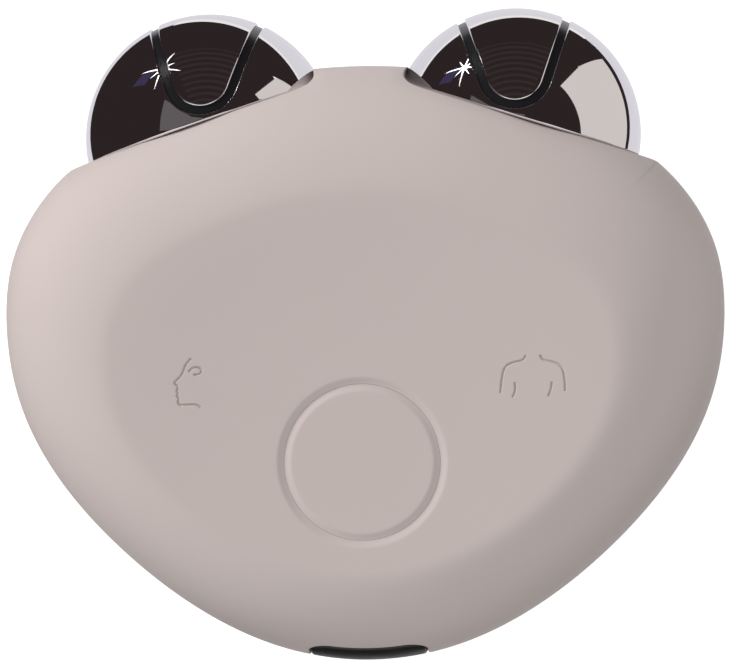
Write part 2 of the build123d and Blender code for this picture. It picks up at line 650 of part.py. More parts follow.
def make_board():
    """Circuit board with its screws, parts, mode lights and light guides."""
    board = extrude(board_outline(), BOARD_THICKNESS)
    screws = []
    for x, y in BOARD_BOSSES:
        for hole in both(rod(x, y, BOARD_UNDER_Z, BOARD_TOP_Z, SMALL_SCREW_RADIUS + HOLE_GAP)):
            board -= hole
        head = rod(x, y, BOARD_UNDER_Z - SMALL_SCREW_HEAD, BOARD_UNDER_Z, SMALL_SCREW_HEAD_RADIUS)
        tip = BOARD_TOP_Z + SMALL_SCREW_LENGTH - SCREW_END_GAP
        shank = rod(x, y, BOARD_UNDER_Z, tip, SMALL_SCREW_RADIUS)
        screws += both(head + shank)
    add("circuit_board", board)
    add("board_screws", *screws)

    top = BOARD_TOP_Z
    chips = [box(*low, top, *high, top + height) for low, high, height in CHIPS]
    add("board_chips", *chips)
    coil = rod(COIL_X, COIL_Y, top, top + COIL_HEIGHT, COIL_CORE_RADIUS)
    for foot in (top, top + COIL_HEIGHT - COIL_FLANGE):
        coil += rod(COIL_X, COIL_Y, foot, foot + COIL_FLANGE, COIL_RADIUS)
    add("boost_coil", coil)

    half = LED_SIZE / 2
    led = box(LIGHT_X - half, LIGHT_Y - half, top, LIGHT_X + half, LIGHT_Y + half, top + LED_HEIGHT)
    add("mode_leds", *both(led))
    skin_under = dish_height(LIGHT_X - GUIDE_RADIUS, LIGHT_Y) - SKIN_WALL - FIT_GAP
    shell_under = dish_height(LIGHT_X - GUIDE_FLANGE_RADIUS, LIGHT_Y) - WALL
    flange_top = shell_under - FIT_GAP
    foot = top + LED_HEIGHT + GUIDE_GAP
    cone = Pos(LIGHT_X, LIGHT_Y, (foot + flange_top) / 2) * Cone(
        GUIDE_FOOT_RADIUS, GUIDE_RADIUS, flange_top - foot
    )
    guide = cone + rod(LIGHT_X, LIGHT_Y, flange_top - GUIDE_FLANGE_THICKNESS, flange_top, GUIDE_FLANGE_RADIUS)
    guide += rod(LIGHT_X, LIGHT_Y, flange_top, skin_under, GUIDE_RADIUS)
    right, left = both(guide)
    add("right_light_guide", right)
    add("left_light_guide", left)


# ---------------------------------------------------------------- battery and motor
def make_battery():
    """Battery cell on its pad, held down by a screwed strap."""
    face = Pos(0, CELL_Y, CELL_UNDER_Z) * RectangleRounded(CELL_LENGTH, CELL_WIDTH, CELL_CORNER)
    add("battery_cell", extrude(face, CELL_THICKNESS))
    pad = Pos(0, CELL_Y, REAR_FLOOR_Z) * RectangleRounded(
        CELL_LENGTH - 2 * PAD_MARGIN, CELL_WIDTH - 2 * PAD_MARGIN, CELL_CORNER
    )
    add("battery_pad", extrude(pad, PAD_THICKNESS))

    end = STRAP_POST_X + STRAP_POST_RADIUS + STRAP_END
    top = CELL_TOP_Z + STRAP_THICKNESS
    strap = box(-end, CELL_Y - STRAP_WIDTH / 2, CELL_TOP_Z, end, CELL_Y + STRAP_WIDTH / 2, top)
    strap = fillet(strap.edges().filter_by(Axis.Z), STRAP_POST_RADIUS)
    screws = []
    for x in (-STRAP_POST_X, STRAP_POST_X):
        strap -= rod(x, CELL_Y, CELL_TOP_Z, top, SMALL_SCREW_RADIUS + HOLE_GAP)
        head = rod(x, CELL_Y, top, top + SMALL_SCREW_HEAD, SMALL_SCREW_HEAD_RADIUS)
        tip = top - SMALL_SCREW_LENGTH + SCREW_END_GAP
        shank = rod(x, CELL_Y, tip, top, SMALL_SCREW_RADIUS)
        screws.append(head + shank)
    add("battery_strap", strap)
    add("strap_screws", *screws)


def lying_rod(x0, x1, radius):
    """A cylinder along the motor's axis."""
    return Pos((x0 + x1) / 2, MOTOR_Y, MOTOR_Z) * Rot(0, 90, 0) * Cylinder(radius, x1 - x0)


def make_motor():
    """Vibration motor in its cradle, with the eccentric weight on its shaft."""
    left = MOTOR_X - MOTOR_LENGTH / 2
    right = MOTOR_X + MOTOR_LENGTH / 2
    can = lying_rod(left, right, MOTOR_RADIUS)
    can = chamfer(can.edges().filter_by(GeomType.CIRCLE), MOTOR_CHAMFER)
    bore_end = right - SHAFT_DEPTH - SHAFT_END_GAP
    can -= lying_rod(bore_end, right, SHAFT_RADIUS + SHAFT_GAP)
    add("motor_can", can)

    shaft_end = right - SHAFT_DEPTH + SHAFT_LENGTH
    add("motor_shaft", lying_rod(right - SHAFT_DEPTH, shaft_end, SHAFT_RADIUS))
    weight_start = right + WEIGHT_END_GAP
    weight = lying_rod(weight_start, weight_start + WEIGHT_LENGTH, WEIGHT_RADIUS)
    weight -= box(0, MOTOR_Y - FAR, MOTOR_Z, FAR, MOTOR_Y + FAR, FAR)
    weight += lying_rod(weight_start, weight_start + WEIGHT_LENGTH, WEIGHT_HUB_RADIUS)
    weight -= lying_rod(weight_start, weight_start + WEIGHT_LENGTH, SHAFT_RADIUS)
    add("eccentric_weight", weight)

    width = MOTOR_RADIUS + CRADLE_WALL
    cradle = box(
        MOTOR_X - CRADLE_LENGTH / 2, MOTOR_Y - width, REAR_FLOOR_Z,
        MOTOR_X + CRADLE_LENGTH / 2, MOTOR_Y + width, MOTOR_Z + MOTOR_RADIUS / 2,
    )
    cradle -= lying_rod(-FAR, FAR, MOTOR_RADIUS + CRADLE_GAP)
    throat = MOTOR_RADIUS * CRADLE_THROAT_SHARE
    cradle -= box(-FAR, MOTOR_Y - throat, MOTOR_Z, FAR, MOTOR_Y + throat, 0)
    add("motor_cradle", cradle & rear_half(WALL + FIT_GAP))


# ---------------------------------------------------------------- leads
def lead(name, *points):
    """A round lead along straight runs joined by tangent arcs as large as they allow."""
    stops = [Vector(*point) for point in points]
    runs = [after - before for before, after in zip(stops, stops[1:])]
    radii = []
    for arriving, parting in zip(runs, runs[1:]):
        turn = radians(arriving.get_angle(parting))
        shorter = min(arriving.length, parting.length)
        radii.append(LEAD_RUN_SHARE * shorter / tan(turn / 2))
    print(f"{name} lead, bend radii:", ", ".join(f"{radius:.1f}" for radius in radii))
    path = FilletPolyline(*stops, radius=radii)
    start = Plane(origin=path @ 0, z_dir=path % 0)
    return sweep(start * Circle(LEAD_RADIUS), path=path)


def make_leads():
    """Leads from the contact studs, the battery and the motor to the board's underside."""
    (outer_x, foot, _), (inner_x, _, _) = contact_studs()
    pad = BOARD_UNDER_Z
    turn = pad - LEAD_STRAIGHT
    wires = []
    for stud_x, (x, y) in zip((outer_x, inner_x), ELECTRODE_PADS):
        start = SEAT.from_local_coords((stud_x, 0, foot))
        leaving = SEAT.from_local_coords((stud_x, 0, foot - LEAD_STRAIGHT))
        rising = (x, y + LEAD_STRAIGHT, turn - LEAD_STRAIGHT)
        wires.append(lead("electrode", start, leaving, rising, (x, y, turn), (x, y, pad)))
    for side, pick in (("right", 0), ("left", 1)):
        add(f"{side}_electrode_leads", *[both(wire)[pick] for wire in wires])

    tab_x = CELL_LENGTH / 2
    tab_z = CELL_TOP_Z - TAB_DROP
    x = tab_x + BATTERY_LEAD_REACH
    wires = []
    for y in BATTERY_LEAD_Y:
        start = (tab_x, y, tab_z)
        leaving = (tab_x + LEAD_STRAIGHT, y, tab_z)
        rising = (tab_x + 2 * LEAD_STRAIGHT, y + LEAD_SAG / 2, tab_z + LEAD_STRAIGHT)
        sag = (x, y + LEAD_SAG, BATTERY_LEAD_SAG_Z)
        wires.append(lead("battery", start, leaving, rising, sag, (x, y, pad)))
    add("battery_leads", *wires)

    end_x = MOTOR_X - MOTOR_LENGTH / 2
    x = end_x - 2 * LEAD_STRAIGHT
    wires = []
    for offset in MOTOR_LEAD_OFFSETS:
        y = MOTOR_Y + offset
        start = (end_x, y, MOTOR_Z)
        leaving = (end_x - LEAD_STRAIGHT, y, MOTOR_Z)
        rising = (x, y - LEAD_SAG, MOTOR_Z + LEAD_STRAIGHT)
        sag = (x + LEAD_SAG, y, MOTOR_LEAD_SAG_Z)
        wires.append(lead("motor", start, leaving, rising, sag, (x + LEAD_SAG, y, pad)))
    add("motor_leads", *wires)


def save():
    """Move every piece to the part's frame and write one file per node."""
    os.makedirs("parts", exist_ok=True)
    place = Pos(0, -MIDDLE_Y, REAR_DEPTH)
    for name, solids in parts.items():
        moved = [piece for solid in solids for piece in (place * solid).solids()]
        export_step(Compound(children=moved) if len(moved) > 1 else moved[0], f"parts/{name}.step")


make_housing()
make_button()
make_domes()
make_port()
make_board()
make_battery()
make_motor()
make_leads()
save()
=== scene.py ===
import json
from math import acos, atan, cos, pi, radians, sin, sqrt

import bmesh
import bpy
import numpy as np
from mathutils import Matrix, Vector
from mathutils.bvhtree import BVHTree
from mathutils.geometry import delaunay_2d_cdt


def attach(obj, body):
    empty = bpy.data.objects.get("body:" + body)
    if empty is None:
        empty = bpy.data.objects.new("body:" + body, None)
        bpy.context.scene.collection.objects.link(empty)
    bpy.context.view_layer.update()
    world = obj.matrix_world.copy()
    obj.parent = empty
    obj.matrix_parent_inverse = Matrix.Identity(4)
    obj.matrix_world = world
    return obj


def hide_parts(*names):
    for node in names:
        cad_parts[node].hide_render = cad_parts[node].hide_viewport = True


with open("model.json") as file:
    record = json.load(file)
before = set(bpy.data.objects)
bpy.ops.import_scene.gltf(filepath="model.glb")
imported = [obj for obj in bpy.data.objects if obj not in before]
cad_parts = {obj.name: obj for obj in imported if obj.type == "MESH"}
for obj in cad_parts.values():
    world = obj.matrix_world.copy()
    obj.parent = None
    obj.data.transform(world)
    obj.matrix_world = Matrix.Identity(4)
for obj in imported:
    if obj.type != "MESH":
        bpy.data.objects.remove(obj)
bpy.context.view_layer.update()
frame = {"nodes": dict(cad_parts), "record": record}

# Facial toning device, dressed round its CAD pieces. Lengths of the device are in
# millimetres in the design frame (Y = 0 on the widest row, Z = 0 on the parting plane);
# LIFT moves them to the part's own frame, and MM turns them into metres. The stage and the
# lamp stand in the part's own frame, in metres.
MM = 0.001
FAR = 200.0
STATIONS = 640  # points of each ring round the body

BODY_WIDTH = 85.0
TOP_REACH = 29.3
TIP_REACH = 41.0
FRONT_DEPTH = 20.5
REAR_DEPTH = 19.5
CREST_POWER = 1.5
EDGE_POWER = 3.4
CREST_CENTRE_Y = -10.4
CREST_SHARES = (0.676, 0.61)
REST_SHARES = (0.55, 0.52)
SKIN_WALL = 1.6
PARTING_RISE = 0.25
PARTING_CHAMFER = 0.12

DISH_DEPTH = 1.1
DISH_CENTRE_Y = -7.7
DISH_HALF_WIDTH = 28.4
DISH_HALF_LENGTH = 21.2
DISH_FORM = 10.0
DISH_EASE = 0.14
DISH_LIMIT = 0.02  # keeps the dish's root real far outside it

DOME_RADIUS = 14.9
DOME_X = 18.2
DOME_Y = 21.0
SEAT_TILT = radians(18.0)
SEAT_LIFT = 1.7
ELECTRODE_WALL = 1.2
GROOVE_WIDTH = 0.95
TONGUE_RADIUS = 3.9
TONGUE_LIFT = 3.2
TONGUE_SPREAD = radians(19.0)
POCKET_GAP = 0.15
POCKET_EASE = 0.9  # curl of the pocket's edge from the seat up to the hump's side
HUMP_CLEAR = 0.02  # between the hump's side and the room of the dome
CORNER_ROUND = 0.4  # of a seat's edge
EDGE_ROUND_DROP = 0.45  # the surface rolls down by this at a pocket's edge
EDGE_ROUND_WIDTH = 1.3
EDGE_ROUND_HEIGHT = 2.5  # below it the roll fades out towards the parting plane

BUTTON_Y = -16.5
BUTTON_TOP_GAP = 0.02  # hairline between the cap and the skin, at the bottom of the moat
GAP_EDGE = ((0.0, 0.0), (0.006, 0.012), (0.02, 0.02))  # rounding of both edges of the gap
CAP_THICKNESS = 1.25
KEY_DISC_RADIUS = 6.05
KEY_DISC_THICKNESS = 0.6
MOAT_RADIUS = 8.95  # middle line of the soft groove round the button
MOAT_HALF_WIDTH = 0.95
MOAT_DEPTH = 0.35
MOAT_ROWS = 16  # down each half of the groove
MOAT_STEP = 0.3  # of the gap's side, below the groove

COVER_Z = 8.0
COVER_WIDTH = 13.6
COVER_HEIGHT = 12.0
COVER_CORNER = 2.6
COVER_GAP = 0.15
COVER_STEP = 0.4
COVER_EDGE = ((0.0, 0.35), (0.03, 0.22), (0.1, 0.1), (0.2, 0.03), (0.35, 0.0))
PORT_HALF_WIDTH = COVER_WIDTH / 2 + COVER_GAP
PORT_HALF_HEIGHT = COVER_HEIGHT / 2 + COVER_GAP
OPENING_ROUND = ((0.0, 0.25), (0.02, 0.15), (0.07, 0.07), (0.15, 0.02), (0.26, 0.0))
PLUG_Z = 6.2
PLUG_WIDTH, PLUG_HEIGHT, PLUG_CORNER = 9.0, 3.2, 1.5
PLUG_ROOT = 1.0  # from the cover's foremost point back into its body
PLUG_DEPTH = 0.8  # beyond the skin's inside

ICON_X = 19.7
ICON_Y = -7.1
STROKE_WIDTH = 0.22
STROKE_SOFT = 0.12
STROKE_DEPTH = 0.2

LIFT = np.array([0.0, -(DOME_Y + DOME_RADIUS - TIP_REACH) / 2, REAR_DEPTH])
FRONT = np.array([0.0, 0.0, 1.0])
ALONG = np.array([cos(SEAT_TILT), -sin(SEAT_TILT), 0.0])  # along a dome's seat
NORMAL = np.array([sin(SEAT_TILT), cos(SEAT_TILT), 0.0])  # out of a dome's seat

# Outline, right half from crown to tip: shares of the half width and of the reach.
OUTLINE = [
    (0.000, 1.000), (0.315, 0.949), (0.574, 0.812), (0.809, 0.608), (0.915, 0.437),
    (0.981, 0.232), (1.000, 0.000), (0.955, -0.273), (0.856, -0.468), (0.694, -0.663),
    (0.494, -0.832), (0.262, -0.954), (0.000, -1.000),
]


# -------- mesh helpers
def smoothstep(value):
    value = np.clip(value, 0.0, 1.0)
    return value * value * (3.0 - 2.0 * value)


def make_piece(name, points, faces, body, material, slot_name, replaced, sharp=40.0, normals=None):
    """A mesh object from design-frame points, riding on a body.

    With normals given, one for each point, no points are joined and no edge is sharp.
    """
    mesh = bpy.data.meshes.new(name)
    placed = (np.asarray(points, float) + LIFT) * MM
    mesh.from_pydata(placed.tolist(), [], [tuple(int(i) for i in face) for face in faces])
    form = bmesh.new()
    form.from_mesh(mesh)
    if normals is None:
        bmesh.ops.remove_doubles(form, verts=form.verts, dist=0.001 * MM)
    bmesh.ops.recalc_face_normals(form, faces=form.faces)
    form.to_mesh(mesh)
    form.free()
    mesh.shade_smooth()
    if normals is None:
        mesh.set_sharp_from_angle(angle=radians(sharp))
    else:
        mesh.normals_split_custom_set_from_vertices(normals.tolist())
    piece = bpy.data.objects.new(name, mesh)
    bpy.context.scene.collection.objects.link(piece)
    piece.data.materials.append(material)
    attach(piece, body)
    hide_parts(*replaced)


def grid_faces(rows, columns, first=0, windows=()):
    """Quads between neighbouring rings of points, apart from the windows."""
    skipped = set()
    for r0, c0, r1, c1 in windows:
        skipped |= {(r, c % columns) for r in range(r0, r1) for c in range(c0, c1)}
    faces = []
    for row in range(rows - 1):
        near, far = first + row * columns, first + (row + 1) * columns
        for c in range(columns):
            if (row, c) not in skipped:
                d = (c + 1) % columns
                faces.append((near + c, near + d, far + d, far + c))
    return faces


def ring_faces(near, far):
    """Quads between two closed rings of point numbers."""
    count = len(near)
    return [(near[i], near[(i + 1) % count], far[(i + 1) % count], far[i]) for i in range(count)]


def both_sides(triangles, count):
    """Triangles of a sheet and, turned over, of its twin that is numbered count higher."""
    faces = []
    for a, b, c in triangles:
        faces += [(a, b, c), (count + c, count + b, count + a)]
    return faces


def triangulate(loops, loose, walls):
    """Triangles over closed loops and loose points of a plane, in input order.

    Only the region round the loose points is kept, up to the loops named as its walls.
    """
    verts, edges, barrier = [], [], set()
    for number, loop in enumerate(loops):
        first = len(verts)
        count = len(loop)
        verts += [Vector((float(u), float(v))) for u, v in loop]
        ring = [(first + i, first + (i + 1) % count) for i in range(count)]
        edges += ring
        if number in walls:
            barrier |= {frozenset(edge) for edge in ring}
    fixed = len(verts)
    verts += [Vector((float(u), float(v))) for u, v in loose]
    out, _, faces, origin, _, _ = delaunay_2d_cdt(verts, edges, [], 0, 1e-7)
    source = [ids[0] if ids else -1 for ids in origin]
    if min(source) < 0:
        raise ValueError("the triangulation added a point")
    faces = [tuple(source[i] for i in face) for face in faces]
    beside = {}
    for number, face in enumerate(faces):
        for i in range(3):
            beside.setdefault(frozenset((face[i - 1], face[i])), []).append(number)
    kept = {number for number, face in enumerate(faces) if max(face) >= fixed}
    queue = list(kept)
    while queue:
        face = faces[queue.pop()]
        for i in range(3):
            edge = frozenset((face[i - 1], face[i]))
            if edge in barrier:
                continue
            for number in beside[edge]:
                if number not in kept:
                    kept.add(number)
                    queue.append(number)
    return [faces[number] for number in sorted(kept)]


def hex_points(u0, v0, u1, v1, step):
    """Points of a regular triangular lattice in a rectangle."""
    points = []
    lift = step * sqrt(3) / 2
    for j in range(int((v1 - v0) / lift) + 1):
        for i in range(int((u1 - u0) / step) + 1):
            points.append((u0 + (i + 0.5 * (j % 2)) * step, v0 + j * lift))
    return np.array(points)


def inside(points, loop):
    """Which plane points lie inside a closed loop."""
    points = np.asarray(points, float)
    loop = np.asarray(loop, float)
    found = np.zeros(len(points), bool)
    x, y = points[:, 0], points[:, 1]
    for (x0, y0), (x1, y1) in zip(loop, np.roll(loop, -1, axis=0)):
        crosses = (y0 > y) != (y1 > y)
        with np.errstate(divide="ignore", invalid="ignore"):
            at = x0 + (y - y0) * (x1 - x0) / (y1 - y0)
        found ^= crosses & (x < at)
    return found


def distance_to_lines(points, lines):
    """Distance from plane points to the nearest of some open polylines."""
    points = np.asarray(points, float)
    best = np.full(len(points), 1e9)
    for line in lines:
        for a, b in zip(line[:-1], line[1:]):
            a, b = np.array(a, float), np.array(b, float)
            run = b - a
            share = np.clip(((points - a) @ run) / max(run @ run, 1e-12), 0, 1)
            gap = points - (a + share[:, None] * run)
            best = np.minimum(best, np.hypot(gap[:, 0], gap[:, 1]))
    return best


def clear_of(points, loop, gap):
    """Which plane points keep a distance from a closed loop."""
    return distance_to_lines(points, [np.vstack([loop, loop[:1]])]) > gap


# -------- body form
def spline(points, count, closed=False):
    """Points along the cubic spline through the given ones, by chord length."""
    points = np.array(points, float)
    n = len(points)
    runs = np.roll(points, -1, axis=0) - points
    steps = np.linalg.norm(runs, axis=1)
    slopes = runs / steps[:, None]
    system = np.zeros((n, n))
    right = np.zeros((n, 2))
    for i in range(n):
        if not closed and i in (0, n - 1):
            system[i, i] = 1.0
            continue
        before, after = steps[i - 1], steps[i]
        system[i, i - 1] += before
        system[i, i] += 2.0 * (before + after)
        system[i, (i + 1) % n] += after
        right[i] = 6.0 * (slopes[i] - slopes[i - 1])
    bend = np.linalg.solve(system, right)
    ends = np.concatenate([[0.0], np.cumsum(steps if closed else steps[:-1])])
    places = np.arange(count) / (count if closed else count - 1) * ends[-1]
    line = np.zeros((count, 2))
    for k, u in enumerate(places):
        i = min(int(np.searchsorted(ends, u, side="right")) - 1, len(ends) - 2)
        j = (i + 1) % n
        h, a, b = steps[i], ends[i + 1] - u, u - ends[i]
        line[k] = (bend[i] * a**3 + bend[j] * b**3) / (6 * h)
        line[k] += (points[i] / h - bend[i] * h / 6) * a + (points[j] / h - bend[j] * h / 6) * b
    return line


def outline_ring():
    """The outline on the parting plane, from the crown clockwise."""
    right = []
    for across, along in OUTLINE:
        reach = TOP_REACH if along > 0 else TIP_REACH
        right.append((across * BODY_WIDTH / 2, along * reach))
    left = [(-x, y) for x, y in reversed(right[1:-1])]
    return spline(right + left, STATIONS, closed=True)


RIM = outline_ring()
RIM_TANGENT = np.roll(RIM, -1, axis=0) - np.roll(RIM, 1, axis=0)
RIM_TANGENT /= np.linalg.norm(RIM_TANGENT, axis=1)[:, None]
RIM_INWARD = np.stack([RIM_TANGENT[:, 1], -RIM_TANGENT[:, 0]], axis=1)


def scaled_ring(shares):
    """The crest ring or the rest ring."""
    across = RIM[:, 0] * shares[0]
    along = CREST_CENTRE_Y + shares[1] * (RIM[:, 1] - CREST_CENTRE_Y)
    return np.stack([across, along], axis=1)


# A usual flank, for dividing every flank into rows of even height.
FLANK_WIDTH, FLANK_HEIGHT, FLANK_TURNS = 12.0, 20.0, 4001


def even_turns(count):
    """Angles, crest first, that divide the flank into rows of even height."""
    turns = np.linspace(0.0, pi / 2, FLANK_TURNS)
    out = FLANK_WIDTH * np.clip(np.cos(turns), 0, None) ** (2 / CREST_POWER)
    up = FLANK_HEIGHT * np.sin(turns) ** (2 / EDGE_POWER)
    length = np.concatenate([[0.0], np.cumsum(np.hypot(np.diff(out), np.diff(up)))])
    return np.interp(np.linspace(length[-1], 0.0, count), length, turns)


def soft_min(first, second, ease):
    """The lower of two heights, eased where they cross."""
    gap = np.clip((first - second) / ease, -40, 40)
    return second - ease * np.log1p(np.exp(-gap))


def dish_height(x, y, base=FRONT_DEPTH):
    """Height of the front, the dish easing into what surrounds it."""
    spread = sqrt(1 - (1 - DISH_DEPTH / DISH_FORM) ** 2)
    across = (x * spread / DISH_HALF_WIDTH) ** 2
    across = across + ((y - DISH_CENTRE_Y) * spread / DISH_HALF_LENGTH) ** 2
    dish = FRONT_DEPTH - DISH_DEPTH + DISH_FORM * (1 - np.sqrt(np.clip(1 - across, DISH_LIMIT, 1)))
    return soft_min(dish, base, DISH_EASE)


def beyond_seat(x, y):
    """How far a point lies beyond the dome seat on its side."""
    return (np.abs(x) - DOME_X) * sin(SEAT_TILT) + (y - DOME_Y) * cos(SEAT_TILT) - SEAT_LIFT


def beside_dome(x, y):
    """How far a point of the hump between the domes lies inside the room of a dome."""
    reach = DOME_RADIUS + POCKET_GAP - np.hypot(np.abs(x) - DOME_X, y - DOME_Y)
    return np.where(np.abs(x) < DOME_X, reach, FAR)


def in_pocket(x, y):
    """How far a point lies inside a dome's pocket, negative outside it."""
    return soft_min(beside_dome(x, y), beyond_seat(x, y), POCKET_EASE)


def flank_at(crest, rim, depth, turns):
    """Points of the flank, one angle for each station."""
    out = np.clip(np.cos(turns), 0.0, 1.0) ** (2 / CREST_POWER)
    flat = crest + out[:, None] * (rim - crest)
    return np.column_stack([flat, depth * np.sin(turns) ** (2 / EDGE_POWER)])


TURN_COUNT = 361  # angles tried on a flank to find where it ends
EDGE_STATIONS = 14  # those that end along each side edge of the hump
BEND_STATIONS = 60  # beyond them, over which the others straighten
CORNER_STATIONS = 3  # next to the hump's edge, that end no lower than its corner


class Flank:
    """The flank from the rim to its inner ring, its stations bent to follow the hump.

    The hump between the domes ends beside each dome in a side edge that runs from the rim
    up to the corner of the seat. A few stations end along that edge, one above another.
    """

    def __init__(self, shares, depth, inset):
        self.crest = scaled_ring(shares)
        self.rim = RIM + inset * RIM_INWARD
        self.depth = depth
        self.inset = inset
        self.number = np.arange(STATIONS)
        self.side = np.where(self.number < STATIONS / 2, 1, -1)
        self.steps = np.minimum(self.number, STATIONS - self.number)
        self.edges = []
        self.turns = []
        for turn in np.linspace(0.0, pi / 2, TURN_COUNT):
            edge = self.hump_edge(turn)
            if edge is None:
                break
            self.edges.append(edge)
            self.turns.append(turn)
        self.corner = self.turns[-1]
        self.last = self.edges[0] + EDGE_STATIONS

    def hump_edge(self, turn):
        """The station at which the hump ends beside a dome, or None below the seat."""
        points = flank_at(self.crest, self.rim, self.depth, np.full(STATIONS, turn))
        points = points[: STATIONS // 4]
        gap = -(in_pocket(points[:, 0], points[:, 1]) + self.inset) - HUMP_CLEAR
        first = int(np.nonzero(gap <= 0)[0][0])
        if beyond_seat(*points[first, :2]) < beside_dome(*points[first, :2]):
            return None
        return first - 1 + gap[first - 1] / (gap[first - 1] - gap[first])

    def at(self, turns):
        """Points of the flank, one angle for each station."""
        edge = np.interp(turns, self.turns, self.edges)
        end = self.edges[0] + EDGE_STATIONS * np.minimum(turns / self.corner, 1)
        beyond = 1 - smoothstep((self.steps - self.last) / BEND_STATIONS)
        bend = np.where(
            self.steps <= self.last,
            self.steps * (1 - edge / end),
            (self.last - self.edges[-1]) * beyond,
        )
        bend = bend * (1 - smoothstep((turns - self.corner) / (pi / 2 - self.corner)))
        place = self.number - self.side * bend
        low = np.floor(place).astype(int)
        share = (place - low)[:, None]
        crest, rim = [
            ring[low % STATIONS] * (1 - share) + ring[(low + 1) % STATIONS] * share
            for ring in (self.crest, self.rim)
        ]
        return flank_at(crest, rim, self.depth, turns)

    def limits(self):
        """The angle at which each station ends: at the rim, the hump's side or a seat."""
        lowest = np.arcsin((PARTING_RISE / self.depth) ** (EDGE_POWER / 2))
        limits = np.maximum(lowest, self.corner * (self.steps - self.edges[0]) / EDGE_STATIONS)
        dense = np.linspace(pi / 2, 0.0, TURN_COUNT)
        reach = []
        for turn in dense:
            points = self.at(np.full(STATIONS, turn))
            reach.append(in_pocket(points[:, 0], points[:, 1]) + self.inset)
        reach = np.array(reach)
        for k in np.nonzero(self.steps > self.last)[0]:
            limits[k] = lowest
            beyond = np.nonzero(reach[:, k] > 0)[0]
            if len(beyond):
                i = beyond[0]
                share = reach[i - 1, k] / (reach[i - 1, k] - reach[i, k])
                limits[k] = max(lowest, dense[i - 1] + share * (dense[i] - dense[i - 1]))
        beside_corner = (self.steps > self.last) & (self.steps < self.last + CORNER_STATIONS)
        limits[beside_corner] = np.maximum(limits[beside_corner], self.corner)
        return limits

    def soften(self, row):
        """Ease the surface down towards the edges of the pockets."""
        gap = -(in_pocket(row[:, 0], row[:, 1]) + self.inset)
        near = (1 - np.clip(gap / EDGE_ROUND_WIDTH, 0, 1)) ** 2
        drop = EDGE_ROUND_DROP * near * np.clip(row[:, 2] / EDGE_ROUND_HEIGHT, 0, 1)
        return row - drop[:, None] * FRONT


# Rows of the flank and of the wall below a seat, and whether their edges are rounded.
OUTSIDE, INSIDE = (64, 16, True), (16, 3, False)
CORNER_ROWS = 5  # round a seat's edge
PARTING_STEPS = ((0.6, 0.12), (0.3, 0.45), (0.0, 1.0))  # shares of the rise and the chamfer
BACK_ROUNDS, BACK_STEP, BACK_SHARE = 30, 0.0015, 0.02  # to walk back from a corner to its radius


def flank_rows(shares, depth, inset, flank_count, wall_count, rounded):
    """Rows from below the crest ring down the flank, over a seat's edge, to the rim."""
    flank = Flank(shares, depth, inset)
    limits = flank.limits()
    corner = flank.at(limits)
    radius = np.minimum(CORNER_ROUND, 0.5 * (corner[:, 2] - PARTING_RISE)) if rounded else 0 * limits
    before = limits.copy()
    for _ in range(BACK_ROUNDS):
        gap = np.linalg.norm(flank.at(before) - corner, axis=1)
        before = np.where(gap < radius, before + BACK_STEP + BACK_SHARE * (radius - gap), before)
    start = flank.at(before)
    rows = []
    for turn in even_turns(flank_count)[1:]:
        share = turn / (pi / 2)
        rows.append(flank.at(before + share * (pi / 2 - before)))
    down = corner.copy()
    down[:, 2] -= radius
    if rounded:
        for step in np.linspace(0, 1, CORNER_ROWS + 2)[1:-1]:
            rows.append((1 - step) ** 2 * start + 2 * step * (1 - step) * corner + step**2 * down)
    for step in np.linspace(0, 1, wall_count):
        row = down.copy()
        row[:, 2] = down[:, 2] + step * (PARTING_RISE - down[:, 2])
        rows.append(row)
    if rounded:
        for rise, pull in PARTING_STEPS:
            row = down.copy()
            row[:, :2] += pull * PARTING_CHAMFER * RIM_INWARD
            row[:, 2] = rise * PARTING_RISE
            rows.append(row)
    else:
        row = down.copy()
        row[:, 2] = 0.0
        rows.append(row)
    return [flank.soften(row) for row in rows]


# -------- pictograms
# Each pictogram is a few strokes about its own centre, in millimetres.
FACE_STROKES = [
    spline([(0.3, 2.75), (-0.2, 2.2), (-0.55, 1.45), (-0.85, 0.85), (-1.3, 0.4), (-1.58, 0.12)], 60),
    spline([(-1.58, 0.12), (-1.5, -0.12), (-1.3, -0.25), (-1.26, -0.6), (-1.36, -0.95)], 30),
    spline([(-1.36, -0.95), (-1.22, -1.2), (-1.34, -1.45), (-1.16, -1.7), (-1.26, -2.1)], 30),
    spline([(-1.26, -2.1), (-1.1, -2.42), (-0.5, -2.5), (0.4, -2.46), (0.95, -2.55), (1.3, -2.8)], 60),
    spline([(0.1, 1.35), (0.55, 1.72), (1.15, 1.75), (1.5, 1.4), (1.3, 1.05), (0.7, 0.95)], 30),
]
TORSO_STROKES = [
    spline([
        (-0.86, 2.46), (-1.05, 2.15), (-1.6, 1.9), (-2.4, 1.7), (-3.1, 1.3), (-3.5, 0.3), (-3.75, -1.6),
    ], 60),
    spline([
        (0.86, 2.46), (1.05, 2.15), (1.6, 1.9), (2.4, 1.7), (3.1, 1.3), (3.5, 0.3), (3.6, -1.5),
    ], 60),
    spline([(-2.1, -0.6), (-2.08, -1.4), (-2.35, -2.15)], 16),
    spline([(2.1, -0.6), (2.0, -1.3), (1.72, -2.05)], 16),
]
# Each with its middle and how far its window reaches across; both windows reach as far up.
ICONS = ((FACE_STROKES, -ICON_X, 3.6), (TORSO_STROKES, ICON_X, 5.2))
ICON_REACH_UP = 4.2
ICON_CLEAR = 0.2  # loose points keep off the window's edge
# Spacings of a pictogram's points, from how near a stroke to how far.
ICON_MESH = ((0.5, 0.95, FAR), (0.17, 0.38, 0.85), (0.065, 0.0, 0.34))


